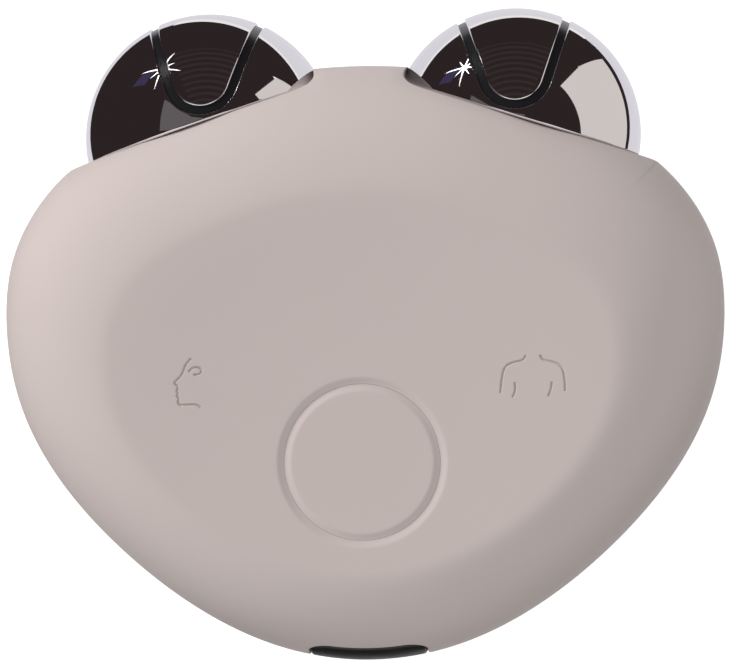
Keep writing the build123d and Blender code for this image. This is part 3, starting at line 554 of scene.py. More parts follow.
def icon_points(lines, flat_loop):
    """Plane points for a pictogram's window, dense along its strokes."""
    low, high = flat_loop.min(axis=0), flat_loop.max(axis=0)
    loose = []
    for step, nearest, farthest in ICON_MESH:
        lattice = hex_points(*low, *high, step)
        gap = distance_to_lines(lattice, lines)
        loose.append(lattice[(gap >= nearest) & (gap < farthest)])
    loose = np.vstack(loose)
    return loose[inside(loose, flat_loop) & clear_of(loose, flat_loop, ICON_CLEAR)]


# -------- skins
class Form:
    """Points and faces of a mesh while it is put together."""

    def __init__(self):
        self.blocks = []
        self.count = 0
        self.faces = []

    def add(self, points):
        """Add points and give the number of the first."""
        first = self.count
        self.blocks.append(np.asarray(points, float))
        self.count += len(points)
        return first

    def sheet(self, rows, windows=()):
        """Add rings of points and the quads between them, apart from the windows."""
        first = self.add(np.vstack(rows))
        self.faces += grid_faces(len(rows), len(rows[0]), first, windows)
        return first

    def patch(self, loop, flat_loop, rings, loose, walls, raise_up):
        """Fill a window with rings and loose points, and give the first ring's numbers."""
        triangles = triangulate([flat_loop, *rings], loose, walls)
        added = np.vstack([*rings, loose])
        first = self.add(raise_up(added))
        numbers = list(loop) + list(range(first, first + len(added)))
        self.faces += [tuple(numbers[i] for i in triangle) for triangle in triangles]
        return list(range(first, first + len(rings[0]))) if rings else []

    def points(self):
        return np.vstack(self.blocks)


def window_round(rows, start, stop, near):
    """Rows and columns of the block of grid points for which the test holds."""
    hits = [(r, c) for r in range(start, stop) for c in np.nonzero(near(rows[r]))[0]]
    low, high = np.min(hits, axis=0), np.max(hits, axis=0)
    return max(int(low[0]) - 1, 0), int(low[1]) - 1, int(high[0]) + 1, int(high[1]) + 1


def window_loop(window, columns, first):
    """Point numbers round a window, once."""
    r0, c0, r1, c1 = window
    loop = [(r0, c) for c in range(c0, c1)]
    loop += [(r, c1) for r in range(r0, r1)]
    loop += [(r1, c) for c in range(c1, c0, -1)]
    loop += [(r, c0) for r in range(r1, r0, -1)]
    return [first + r * columns + c % columns for r, c in loop]


DISH_ROWS, LINING_ROWS = 46, 9
HUB_ROWS, HUB_LINING_ROWS = 10, 3  # of the rest face


def moat_drop(radius):
    """Depth of the soft groove round the button."""
    reach = np.clip(np.abs(radius - MOAT_RADIUS) / MOAT_HALF_WIDTH, 0, 1)
    return MOAT_DEPTH * (1 + np.cos(pi * reach)) / 2


def round_the_button(radius, drop, around):
    """Points round the button, sunk below the dish."""
    x, y = radius * np.cos(around), BUTTON_Y + radius * np.sin(around)
    return np.column_stack([x, y, dish_height(x, y) - drop])


def moat_profile():
    """Section of the moat's outer half: the skin's edge, its rounding and the slope."""
    edge = MOAT_RADIUS + BUTTON_TOP_GAP / 2
    profile = [(edge, SKIN_WALL), (edge, MOAT_DEPTH + MOAT_STEP)]
    profile += [(edge + inward, MOAT_DEPTH + GAP_EDGE[-1][1] - rise) for inward, rise in GAP_EDGE]
    radii = np.linspace(edge, MOAT_RADIUS + MOAT_HALF_WIDTH, MOAT_ROWS)[2:]
    return profile + [(radius, moat_drop(radius)) for radius in radii]


def front_surface():
    """Rows of the front skin's outside: moat, dish, flank and rim."""
    crest = scaled_ring(CREST_SHARES)
    around = np.arctan2(crest[:, 1] - BUTTON_Y, crest[:, 0])
    rows = [round_the_button(radius, drop, around) for radius, drop in moat_profile()]
    circle = rows[-1][:, :2]
    for share in np.linspace(0, 1, DISH_ROWS + 1)[1:]:
        flat = circle + share * (crest - circle)
        rows.append(np.column_stack([flat, dish_height(flat[:, 0], flat[:, 1])]))
    moat_rows = len(moat_profile())
    for row in flank_rows(CREST_SHARES, FRONT_DEPTH, 0.0, *OUTSIDE):
        row[:, 2] = dish_height(row[:, 0], row[:, 1], row[:, 2])
        rows.append(row)
    return rows, moat_rows, moat_rows + DISH_ROWS


def front_lining():
    """Rows of the front skin's inside, from the moat outwards."""
    crest = scaled_ring(CREST_SHARES)
    around = np.arctan2(crest[:, 1] - BUTTON_Y, crest[:, 0])
    radius = moat_profile()[0][0]
    circle = np.stack([radius * np.cos(around), BUTTON_Y + radius * np.sin(around)], axis=1)
    rows = []
    for share in np.linspace(0, 1, LINING_ROWS):
        flat = circle + share * (crest - circle)
        rows.append(np.column_stack([flat, dish_height(flat[:, 0], flat[:, 1]) - SKIN_WALL]))
    rows += flank_rows(CREST_SHARES, FRONT_DEPTH - SKIN_WALL, SKIN_WALL, *INSIDE)
    return rows


LOOP_STEP = 0.25


def rounded_rectangle(width, height, corner, middle=COVER_Z):
    """A rounded rectangle about the cover's middle or another one, as a loop of (x, z)."""
    half_w, half_h = width / 2 - corner, height / 2 - corner
    loop = []
    sides = (
        (half_w, half_h, 0), (-half_w, half_h, 90), (-half_w, -half_h, 180), (half_w, -half_h, 270),
    )
    for i, (x, z, start) in enumerate(sides):
        count = max(6, int(corner * pi / 2 / LOOP_STEP))
        for turn in np.radians(np.linspace(start, start + 90, count)):
            loop.append((x + corner * cos(turn), z + corner * sin(turn)))
        nx, nz, _ = sides[(i + 1) % 4]
        end = np.array(loop[-1])
        turn = radians(start + 90)
        goal = np.array([nx + corner * cos(turn), nz + corner * sin(turn)])
        runs = max(1, int(np.linalg.norm(goal - end) / LOOP_STEP))
        loop += [tuple(end + (goal - end) * k / runs) for k in range(1, runs)]
    return np.array([(x, middle + z) for x, z in loop])


def surface_tree(rows):
    """A tree for finding the surface that some rings of points make."""
    columns = len(rows[0])
    faces = grid_faces(len(rows), columns)
    return BVHTree.FromPolygons([Vector(p) for p in np.vstack(rows)], faces)


def tip_surface(tree, flat):
    """Y of the surface at the tip for points given by X and Z."""
    found = []
    for x, z in flat:
        found.append(tree.ray_cast(Vector((x, -FAR, z)), Vector((0, 1, 0)))[0].y)
    return np.array(found)


PORT_MARGIN_ACROSS, PORT_MARGIN_UP = 1.2, 0.9  # from the opening to the regular grid
PORT_STEP, PORT_CLEAR = 0.5, (0.25, 0.22)  # loose points, and their distance from both loops


def near_port(row):
    """Grid points round the port's opening."""
    across = np.abs(row[:, 0]) < PORT_HALF_WIDTH + PORT_MARGIN_ACROSS
    upright = np.abs(row[:, 2] - COVER_Z) < PORT_HALF_HEIGHT + PORT_MARGIN_UP
    return across & upright & (row[:, 1] < -TIP_REACH / 2)


def port_window(form, rows, first, window, steps):
    """Fill a window round the port's opening and give the point numbers on its edge."""
    loop = window_loop(window, STATIONS, first)
    flat_loop = np.vstack(rows)[[i - first for i in loop]][:, [0, 2]]
    rings = []
    for out, _ in steps:
        width, height = 2 * (PORT_HALF_WIDTH + out), 2 * (PORT_HALF_HEIGHT + out)
        rings.append(rounded_rectangle(width, height, COVER_CORNER + COVER_GAP + out))
    loose = hex_points(*flat_loop.min(axis=0), *flat_loop.max(axis=0), PORT_STEP)
    loose = loose[inside(loose, flat_loop) & ~inside(loose, rings[-1])]
    for edge, gap in zip((flat_loop, rings[-1]), PORT_CLEAR):
        loose = loose[clear_of(loose, edge, gap)]
    drops = [np.full(len(ring), drop) for ring, (_, drop) in zip(rings, steps)]
    drops = np.concatenate([*drops, np.zeros(len(loose))])
    tree = surface_tree(rows)

    def raise_up(flat):
        return np.column_stack([flat[:, 0], tip_surface(tree, flat) + drops, flat[:, 1]])

    return form.patch(loop, flat_loop, rings, loose, (0, 1), raise_up)


def front_skin():
    """Front skin mesh, with the pictograms engraved and the port's opening."""
    rows, dish_start, dish_end = front_surface()
    lining = front_lining()
    port = window_round(rows, 0, len(rows), near_port)
    port_inside = window_round(lining, 0, len(lining), near_port)
    icons = []
    for strokes, centre_x, reach in ICONS:
        def near(row):
            across = np.abs(row[:, 0] - centre_x) < reach
            return across & (np.abs(row[:, 1] - ICON_Y) < ICON_REACH_UP)

        lines = [line + [centre_x, ICON_Y] for line in strokes]
        icons.append((window_round(rows, dish_start, dish_end, near), lines))

    form = Form()
    outside = form.sheet(rows, [port] + [window for window, _ in icons])
    inside_first = form.sheet(lining, [port_inside])
    whole = np.vstack(rows)
    for window, lines in icons:
        def raise_up(flat):
            gap = distance_to_lines(flat, lines) - STROKE_WIDTH / 2 + STROKE_SOFT / 2
            drop = STROKE_DEPTH * (1 - smoothstep(gap / STROKE_SOFT))
            return np.column_stack([flat, dish_height(flat[:, 0], flat[:, 1]) - drop])

        loop = window_loop(window, STATIONS, outside)
        flat_loop = whole[loop][:, :2]
        form.patch(loop, flat_loop, [], icon_points(lines, flat_loop), (0,), raise_up)
    edge = port_window(form, rows, outside, port, OPENING_ROUND)
    edge_inside = port_window(form, lining, inside_first, port_inside, OPENING_ROUND[:1])
    form.faces += ring_faces(edge, edge_inside)
    rim = outside + (len(rows) - 1) * STATIONS
    rim_inside = inside_first + (len(lining) - 1) * STATIONS
    for first, second in ((rim, rim_inside), (outside, inside_first)):
        form.faces += ring_faces(range(first, first + STATIONS), range(second, second + STATIONS))
    return form.points(), form.faces


def rear_skin():
    """Rear skin mesh: flat rest face, flank and rim, with its inside."""
    rest = scaled_ring(REST_SHARES)
    centre = np.array([0.0, rest[:, 1].mean()])
    form = Form()
    rims = []
    for inset, layout, hub_rows in ((0.0, OUTSIDE, HUB_ROWS), (SKIN_WALL, INSIDE, HUB_LINING_ROWS)):
        rows = []
        for share in np.linspace(0, 1, hub_rows + 1)[1:]:
            flat = centre + share * (rest - centre)
            rows.append(np.column_stack([flat, np.full(STATIONS, REAR_DEPTH - inset)]))
        rows += flank_rows(REST_SHARES, REAR_DEPTH - inset, inset, *layout)
        first = form.sheet([row * [1, 1, -1] for row in rows])
        hub = form.add([(*centre, inset - REAR_DEPTH)])
        form.faces += [(hub, first + c, first + (c + 1) % STATIONS) for c in range(STATIONS)]
        rim = first + (len(rows) - 1) * STATIONS
        rims.append(range(rim, rim + STATIONS))
    form.faces += ring_faces(*rims)
    return form.points(), form.faces


# -------- button cap
CAP_COLUMNS, CAP_TOP_ROWS = 240, 18
CAP_HUB = 0.4  # radius of the flat face in the middle
CAP_BEVEL = 0.1


def button_cap():
    """Cap mesh: dished top that slopes into the moat, side, and the recess for the key."""
    around = np.arange(CAP_COLUMNS) / CAP_COLUMNS * 2 * pi
    edge = MOAT_RADIUS - BUTTON_TOP_GAP / 2
    flat = MOAT_RADIUS - MOAT_HALF_WIDTH
    profile = [(radius, 0.0) for radius in np.linspace(CAP_HUB, flat, CAP_TOP_ROWS)]
    slope = np.linspace(flat, edge, MOAT_ROWS)[1:-2]
    profile += [(radius, moat_drop(radius)) for radius in slope]
    profile += [(edge - inward, MOAT_DEPTH + GAP_EDGE[-1][1] - rise) for inward, rise in GAP_EDGE[::-1]]
    rows = [round_the_button(radius, drop, around) for radius, drop in profile]
    under = float(dish_height(0.0, BUTTON_Y)) - CAP_THICKNESS
    recess = under + KEY_DISC_THICKNESS
    for radius, z in (
        (edge, under + CAP_BEVEL), (edge - CAP_BEVEL, under),
        (KEY_DISC_RADIUS, under), (KEY_DISC_RADIUS, recess), (CAP_HUB, recess),
    ):
        row = round_the_button(radius, 0.0, around)
        row[:, 2] = z
        rows.append(row)
    faces = grid_faces(len(rows), CAP_COLUMNS)
    last = (len(rows) - 1) * CAP_COLUMNS
    faces += [tuple(range(CAP_COLUMNS)), tuple(range(last + CAP_COLUMNS - 1, last - 1, -1))]
    return np.vstack(rows), faces


# -------- dome electrodes
EDGE_ROUND = 0.22  # of an electrode's edges along the groove
BASE_ROUND = 0.3  # of its edge at the seat
EDGE_STEPS = (0.0, 0.03, 0.08, 0.14, EDGE_ROUND)
OUTER_STEPS, OUTER_CLEAR = EDGE_STEPS + (0.34,), 0.6
INNER_STEPS, INNER_CLEAR = EDGE_STEPS + (0.4, 0.75), 1.1
BASE_STEPS = (0.0, 0.03, 0.08, BASE_ROUND)
BASE_COUNT = 300
BASE_POLAR = acos(SEAT_LIFT / DOME_RADIUS) * DOME_RADIUS  # along the sphere, pole to seat
DOME_STEP = 0.8
SLOPE_STEP = 0.01
ARM_STEP, BEND_STEP = 0.3, 0.24
U_CENTRE_Y = TONGUE_LIFT + TONGUE_RADIUS


def u_gap(points):
    """Signed distance in the front view from the U's centre line, negative inside it."""
    across, up = np.abs(points[:, 0]), points[:, 1]
    lean, rise = sin(TONGUE_SPREAD), cos(TONGUE_SPREAD)
    touch_x, touch_y = TONGUE_RADIUS * rise, U_CENTRE_Y - TONGUE_RADIUS * lean
    on_arm = (across - touch_x) * lean + (up - touch_y) * rise > 0
    arm = (across - touch_x) * rise - (up - touch_y) * lean
    bend = np.hypot(across, up - U_CENTRE_Y) - TONGUE_RADIUS
    return np.where(on_arm, arm, bend)


def u_slope(points):
    """The way in the front view in which the distance from the U grows."""
    slope = np.zeros((len(points), 3))
    for axis in (0, 1):
        step = np.eye(3)[axis] * SLOPE_STEP
        slope[:, axis] = (u_gap(points + step) - u_gap(points - step)) / (2 * SLOPE_STEP)
    return slope


def u_loop(gap):
    """The closed line on the sphere at a distance from the U's centre line."""
    radius = TONGUE_RADIUS + gap
    lean = TONGUE_SPREAD
    touch = np.array([radius * cos(lean), U_CENTRE_Y - radius * sin(lean)])
    outward = np.array([cos(lean), -sin(lean)])
    upward = np.array([sin(lean), cos(lean)])
    offset, along = touch @ outward, touch @ upward
    circle = sqrt(DOME_RADIUS**2 - offset**2)
    start = acos(along / circle)
    count = int(2 * start * circle / ARM_STEP)
    arm = []
    for turn in np.linspace(start, -start, count):
        flat = offset * outward + circle * cos(turn) * upward
        arm.append((flat[0], flat[1], circle * sin(turn)))
    arm = np.array(arm)
    bend = []
    count = int((pi - 2 * lean) * radius / BEND_STEP)
    for turn in np.linspace(-lean, -pi + lean, count)[1:-1]:
        x, y = radius * cos(turn), U_CENTRE_Y + radius * sin(turn)
        bend.append((x, y, sqrt(DOME_RADIUS**2 - x * x - y * y)))
    bend = np.array(bend)
    return np.vstack([arm, bend * [1, 1, -1], arm[::-1] * [-1, 1, 1], bend[::-1]])


def to_map(points):
    """Sphere points on the flat map about the seat's normal."""
    unit = points / np.linalg.norm(points, axis=1)[:, None]
    polar = np.arccos(np.clip(unit @ NORMAL, -1, 1))
    a, b = unit @ ALONG, unit @ FRONT
    size = np.maximum(np.hypot(a, b), 1e-12)
    return np.stack([polar * a / size, polar * b / size], axis=1) * DOME_RADIUS


def from_map(flat):
    """Unit sphere directions of points on the flat map."""
    polar = np.hypot(flat[:, 0], flat[:, 1]) / DOME_RADIUS
    size = np.maximum(polar * DOME_RADIUS, 1e-12)
    side = (flat[:, :1] * ALONG + flat[:, 1:] * FRONT) / size[:, None]
    return np.cos(polar)[:, None] * NORMAL + np.sin(polar)[:, None] * side


def level(lean):
    """How upright a rounded edge still is where its normal has leaned so far."""
    return np.sqrt(np.clip(1 - lean**2, 0, 1))


class Electrode:
    """One half of a dome, laid out on the flat map and lifted onto the sphere."""

    def __init__(self, inner):
        self.inner = inner
        self.sign = -1 if inner else 1
        steps, clear = (INNER_STEPS, INNER_CLEAR) if inner else (OUTER_STEPS, OUTER_CLEAR)
        loops = [to_map(u_loop(self.sign * (GROOVE_WIDTH / 2 + step))) for step in steps]
        self.borders = [(0, len(loops[0]))]
        walls = (0,)
        if not inner:
            self.borders.append((sum(len(loop) for loop in loops), BASE_COUNT))
            walls = (0, len(loops))
            turns = np.arange(BASE_COUNT) / BASE_COUNT * 2 * pi
            circle = np.stack([np.cos(turns), np.sin(turns)], axis=1)
            loops += [circle * (BASE_POLAR - step) for step in BASE_STEPS]
        fill = hex_points(-BASE_POLAR, -BASE_POLAR, BASE_POLAR, BASE_POLAR, DOME_STEP)
        fill = fill[np.hypot(fill[:, 0], fill[:, 1]) < BASE_POLAR - DOME_STEP]
        fill = fill[self.gap(from_map(fill) * DOME_RADIUS) > clear]
        self.triangles = triangulate(loops, fill, walls)
        self.flat = np.vstack([*loops, fill])

    def gap(self, points):
        """Distance of sphere points from the side of the groove."""
        return self.sign * u_gap(points) - GROOVE_WIDTH / 2

    def shells(self):
        """Points of the outside, with its rounded edges, and of the inside, with normals."""
        unit = from_map(self.flat)
        top = unit * DOME_RADIUS
        lean = np.clip((EDGE_ROUND - np.maximum(self.gap(top), 0.0)) / EDGE_ROUND, 0.0, 1.0)
        drop = EDGE_ROUND * (1 - level(lean))
        slope = self.sign * u_slope(top)
        slope -= (slope * unit).sum(axis=1)[:, None] * unit
        slope /= np.maximum(np.linalg.norm(slope, axis=1), 1e-9)[:, None]
        normals = unit * level(lean)[:, None] - slope * lean[:, None]
        if not self.inner:
            above_seat = BASE_POLAR - np.hypot(self.flat[:, 0], self.flat[:, 1])
            lean = np.clip((BASE_ROUND - above_seat) / BASE_ROUND, 0.0, 1.0)
            drop = drop + BASE_ROUND * (1 - level(lean))
            normals = normals * level(lean)[:, None] - NORMAL * lean[:, None]
        normals /= np.linalg.norm(normals, axis=1)[:, None]
        outer = unit * (DOME_RADIUS - drop)[:, None]
        under = unit * (DOME_RADIUS - ELECTRODE_WALL)
        under = under + np.maximum(SEAT_LIFT - under @ NORMAL, 0)[:, None] * NORMAL
        return np.vstack([outer, under]), np.vstack([normals, -unit])

    def mesh(self, mirrored):
        """Points, faces and normals in the right dome's place, or mirrored in the left one's."""
        points, normals = self.shells()
        count = len(self.flat)
        faces = both_sides(self.triangles, count)
        for first, size in self.borders:
            edge = np.arange(first, first + size)
            faces += ring_faces(edge, count + edge)
        used = sorted({int(i) for face in faces for i in face})
        place = {before: after for after, before in enumerate(used)}
        faces = [tuple(place[i] for i in face) for face in faces]
        points, normals = points[used] + [DOME_X, DOME_Y, 0.0], normals[used]
        if mirrored:
            points, normals = points * [-1, 1, 1], normals * [-1, 1, 1]
            faces = [face[::-1] for face in faces]
        return points, faces, normals


# -------- port cover
def port_cover():
    """Cover mesh: a patch that follows the skin, with rounded edges and its plug."""
    loops, drops = [], []
    for inward, drop in COVER_EDGE:
        loop = rounded_rectangle(
            COVER_WIDTH - 2 * inward, COVER_HEIGHT - 2 * inward, COVER_CORNER - inward
        )
        loops.append(loop)
        drops.append(np.full(len(loop), drop))
    fill = hex_points(*loops[0].min(axis=0), *loops[0].max(axis=0), COVER_STEP)
    fill = fill[inside(fill, loops[-1]) & clear_of(fill, loops[-1], COVER_STEP / 2)]
    drops = np.concatenate([*drops, np.zeros(len(fill))])
    triangles = triangulate(loops, fill, (0,))
    flat = np.vstack([*loops, fill])
    surface = tip_surface(surface_tree(front_surface()[0]), flat)
    outer = np.column_stack([flat[:, 0], surface + drops, flat[:, 1]])
    under = np.column_stack([flat[:, 0], surface + SKIN_WALL - COVER_GAP, flat[:, 1]])
    count = len(flat)
    edge = np.arange(len(loops[0]))
    faces = both_sides(triangles, count) + ring_faces(edge, count + edge)

    ring = rounded_rectangle(PLUG_WIDTH, PLUG_HEIGHT, PLUG_CORNER, PLUG_Z)
    size, base = len(ring), 2 * count
    ends = [
        np.column_stack([ring[:, 0], np.full(size, y), ring[:, 1]])
        for y in (surface.min() + PLUG_ROOT, SKIN_WALL - TIP_REACH + PLUG_DEPTH)
    ]
    faces += grid_faces(2, size, base)
    faces += [tuple(range(base, base + size)), tuple(range(base + 2 * size - 1, base + size - 1, -1))]
    return np.vstack([outer, under, *ends]), faces


# -------- materials
def add_node(tree, kind, output, **inputs):
    """A node with its inputs linked or set, and the output that is asked for."""
    made = tree.nodes.new("ShaderNode" + kind)
    for key, value in inputs.items():
        socket = made.inputs[key.replace("_", " ")]
        if isinstance(value, bpy.types.NodeSocket):
            tree.links.new(value, socket)
        else:
            socket.default_value = value
    return made.outputs[output]


def new_material(name):
    material = bpy.data.materials.new(name)
    material.use_nodes = True
    tree = material.node_tree
    return material, tree, tree.nodes["Principled BSDF"], add_node(tree, "TexCoord", "Object")


def noise(tree, where, scale, detail=3.0):
    return add_node(tree, "TexNoise", "Fac", Vector=where, Scale=scale, Detail=detail)


def spread(tree, value, low, high, from_low=0.3, from_high=0.7):
    return add_node(
        tree, "MapRange", "Result", Value=value,
        From_Min=from_low, From_Max=from_high, To_Min=low, To_Max=high,
    )


def mixed(tree, fac, first, second):
    made = tree.nodes.new("ShaderNodeMix")
    made.data_type = "RGBA"
    colours = [socket for socket in made.inputs if socket.type == "RGBA"]
    for socket, colour in zip(colours, (first, second)):
        socket.default_value = (*colour, 1)
    tree.links.new(fac, made.inputs["Factor"])
    return next(socket for socket in made.outputs if socket.type == "RGBA")


def bump(tree, height, strength, distance):
    return add_node(tree, "Bump", "Normal", Height=height, Strength=strength, Distance=distance)


def moulded(name, colour, roughness=0.45, tone=0.04, grain=2500.0, grain_depth=0.00001, **fixed):
    """A moulded or drawn material with cloudy tone and fine grain."""
    material, tree, shader, where = new_material(name)
    cloud = noise(tree, where, 60.0)
    dark = tuple(c * (1 - tone) for c in colour)
    light = tuple(min(1.0, c * (1 + tone)) for c in colour)
    tree.links.new(mixed(tree, cloud, dark, light), shader.inputs["Base Color"])
    tree.links.new(
        spread(tree, noise(tree, where, 400.0), roughness * 0.92, roughness * 1.08),
        shader.inputs["Roughness"],
    )
    normal = bump(tree, noise(tree, where, grain), 0.35, grain_depth)
    tree.links.new(normal, shader.inputs["Normal"])
    for key, value in fixed.items():
        shader.inputs[key.replace("_", " ")].default_value = value
    return material


def polished(name, colour, roughness=0.03):
    """Polished plating: fine wipe marks in its gloss and the faintest waviness."""
    material, tree, shader, where = new_material(name)
    shader.inputs["Metallic"].default_value = 1.0
    cloud = noise(tree, where, 90.0)
    dark = tuple(c * 0.97 for c in colour)
    tree.links.new(mixed(tree, cloud, dark, colour), shader.inputs["Base Color"])
    stretched = add_node(tree, "Mapping", "Vector", Vector=where, Scale=(1.0, 6.0, 1.0))
    wipe = noise(tree, stretched, 260.0, 5.0)
    tree.links.new(spread(tree, wipe, roughness * 0.6, roughness * 1.5), shader.inputs["Roughness"])
    wave = bump(tree, noise(tree, where, 120.0, 1.0), 0.05, 0.00002)
    tree.links.new(wave, shader.inputs["Normal"])
    return material


TAUPE = (0.545, 0.472, 0.450)
soft_touch = moulded(
    "soft_touch", TAUPE, roughness=0.52, tone=0.015, grain=3200.0, grain_depth=0.000012,
    Sheen_Weight=0.08, Specular_IOR_Level=0.35,
)
chrome = polished("dome_chrome", (0.86, 0.845, 0.875))
rubber = moulded("port_rubber", (0.012, 0.012, 0.013), roughness=0.42, tone=0.1)

CAD_FINISH = {
    "groove_black": moulded("groove_black", (0.012, 0.012, 0.014), roughness=0.25, tone=0.1),
    "guide_clear": moulded(
        "guide_clear", (0.92, 0.93, 0.93), roughness=0.08, tone=0.01, Transmission_Weight=0.9
    ),
}
for name, colour, roughness, tone, metallic in (
    ("shell_plastic", (0.78, 0.76, 0.73), 0.4, 0.04, 0.0),
    ("seal_rubber", (0.05, 0.05, 0.05), 0.55, 0.04, 0.0),
    ("screw_steel", (0.60, 0.60, 0.62), 0.3, 0.04, 1.0),
    ("chip_black", (0.03, 0.03, 0.035), 0.4, 0.04, 0.0),
    ("contact_brass", (0.85, 0.68, 0.36), 0.28, 0.04, 1.0),
    ("socket_steel", (0.70, 0.70, 0.70), 0.25, 0.04, 1.0),
    ("board_green", (0.03, 0.22, 0.10), 0.35, 0.12, 0.0),
    ("coil_copper", (0.55, 0.27, 0.12), 0.35, 0.15, 0.8),
    ("led_clear", (0.90, 0.90, 0.82), 0.15, 0.04, 0.0),
    ("cell_foil", (0.72, 0.73, 0.74), 0.32, 0.04, 0.9),
    ("motor_steel", (0.66, 0.66, 0.67), 0.25, 0.04, 1.0),
    ("weight_steel", (0.45, 0.45, 0.47), 0.45, 0.04, 1.0),
    ("lead_red", (0.45, 0.04, 0.03), 0.4, 0.04, 0.0),
    ("lead_black", (0.03, 0.03, 0.03), 0.4, 0.04, 0.0),
):
    CAD_FINISH[name] = moulded(name, colour, roughness, tone, Metallic=metallic)

# -------- pieces
make_piece("front_overskin", *front_skin(), "housing", soft_touch, "soft_touch", ["front_skin"])
make_piece("rear_overskin", *rear_skin(), "housing", soft_touch, "soft_touch", ["rear_skin"])
make_piece("thumb_button", *button_cap(), "button", soft_touch, "soft_touch", ["button_cap"], sharp=50.0)
make_piece("port_flap", *port_cover(), "cover", rubber, "port_rubber", ["port_cover"])
for part in ("outer", "inner"):
    half = Electrode(part == "inner")
    for side in ("right", "left"):
        points, faces, normals = half.mesh(side == "left")
        make_piece(
            f"{side}_{part}_dome", points, faces, "housing", chrome, "dome_chrome",
            [f"{side}_{part}_electrode"], normals=normals,
        )

slots = {entry["node"]: entry["material_slot"] for entry in frame["record"]["subparts"]}
for name, cad in frame["nodes"].items():
    finish = CAD_FINISH.get(slots[name])
    if finish:
        cad.data.materials.clear()
        cad.data.materials.append(finish)

# -------- stage and light
def plain_mesh(name, points, faces, material):
    mesh = bpy.data.meshes.new(name)
    mesh.from_pydata(points, [], faces)
    made = bpy.data.objects.new(name, mesh)
    made.data.materials.append(material)
    bpy.context.scene.collection.objects.link(made)
    return made


FLOOR_REACH = 4.0
FLOOR_GLOW = 0.82


def floor_material():
    """White floor that keeps its shadows, lifted for the camera and for reflections."""
    material, tree, shader, where = new_material("studio_floor")
    shader.inputs["Base Color"].default_value = (0.50, 0.49, 0.485, 1)
    shader.inputs["Roughness"].default_value = 0.9
    shader.inputs["Specular IOR Level"].default_value = 0.1
    path = tree.nodes.new("ShaderNodeLightPath")
    lifted = path.outputs["Is Camera Ray"]
    for kind in ("Is Glossy Ray", "Is Transmission Ray"):
        either = tree.nodes.new("ShaderNodeMath")
        either.operation = "MAXIMUM"
        tree.links.new(lifted, either.inputs[0])
        tree.links.new(path.outputs[kind], either.inputs[1])
        lifted = either.outputs[0]
    shader.inputs["Emission Color"].default_value = (1, 1, 1, 1)
    tree.links.new(spread(tree, lifted, 0.0, FLOOR_GLOW, 0.0, 1.0), shader.inputs["Emission Strength"])
    return material


def glow(name, colour, strength=1.0):
    material = bpy.data.materials.new(name)
    material.use_nodes = True
    tree = material.node_tree
    tree.nodes.clear()
    light = add_node(tree, "Emission", "Emission", Color=(*colour, 1), Strength=strength)
    tree.links.new(light, tree.nodes.new("ShaderNodeOutputMaterial").inputs["Surface"])
    return material


def card(name, points, faces, material):
    """A card of the set, seen only in reflections."""
    made = plain_mesh(name, points, faces, material)
    made.visible_camera = False
    made.visible_diffuse = False
    made.visible_transmission = False
    made.visible_volume_scatter = False
    made.visible_shadow = False


def mirrored_card(name, spots, reach, material):
    """A card that the domes mirror at the given spots, in shares of a dome's radius."""
    points = []
    for across, up in spots:
        front = sqrt(1 - across**2 - up**2)
        points.append((2 * front * across * reach, 2 * front * up * reach, (2 * front**2 - 1) * reach))
    card(name, points, [tuple(range(len(points)))], material)


def star_card(name, centre, rays, reach, core, material):
    """A star with thin rays, every second one short, that faces the domes."""
    centre = Vector(centre)
    turn = (Vector(CARD_AIM) - centre).to_track_quat("Z", "Y")
    points = []
    for k in range(4 * rays):
        around = k * pi / (2 * rays)
        size = core if k % 2 else reach * (1.0 if k % 4 else 0.55)
        points.append(tuple(centre + turn @ Vector((size * cos(around), size * sin(around), 0))))
    card(name, points, [tuple(range(len(points)))], material)


def arc(span, count, radius, height, centre=(0.0, 0.0)):
    """Points of an arc at one height, its span in degrees from +X."""
    start, end = span
    turns = [radians(start + (end - start) * i / count) for i in range(count + 1)]
    return [(centre[0] + radius * cos(t), centre[1] + radius * sin(t), height) for t in turns]


def band(name, span, count, near, far, material):
    """A card between two arcs, each with its radius, its height and perhaps its centre."""
    points = arc(span, count, *near) + arc(span, count, *far)
    faces = [(i, i + 1, count + i + 2, count + i + 1) for i in range(count)]
    card(name, points, faces, material)


def tent(radius, material):
    """A dark half sphere over the set, seen only in reflections."""
    rows, count = 24, 64
    points = []
    for r in range(rows):
        height = pi / 2 * r / rows
        points += arc(ALL_ROUND, count, radius * cos(height), radius * sin(height))[:-1]
    points.append((0, 0, radius))
    faces = grid_faces(rows, count)
    last = (rows - 1) * count
    faces += [(last + c, last + (c + 1) % count, len(points) - 1) for c in range(count)]
    card("flag_tent", points, faces, material)


plain_mesh(
    "floor",
    [(sx * FLOOR_REACH, sy * FLOOR_REACH, 0.0) for sx, sy in ((-1, -1), (1, -1), (1, 1), (-1, 1))],
    [(0, 1, 2, 3)], floor_material(),
)

PALE = glow("card_pale", (0.76, 0.745, 0.785))
DARK = glow("card_dark", (0.027, 0.019, 0.019))
WHITE = glow("card_white", (0.92, 0.90, 0.89))
WARM = glow("card_warm", (0.70, 0.66, 0.62))

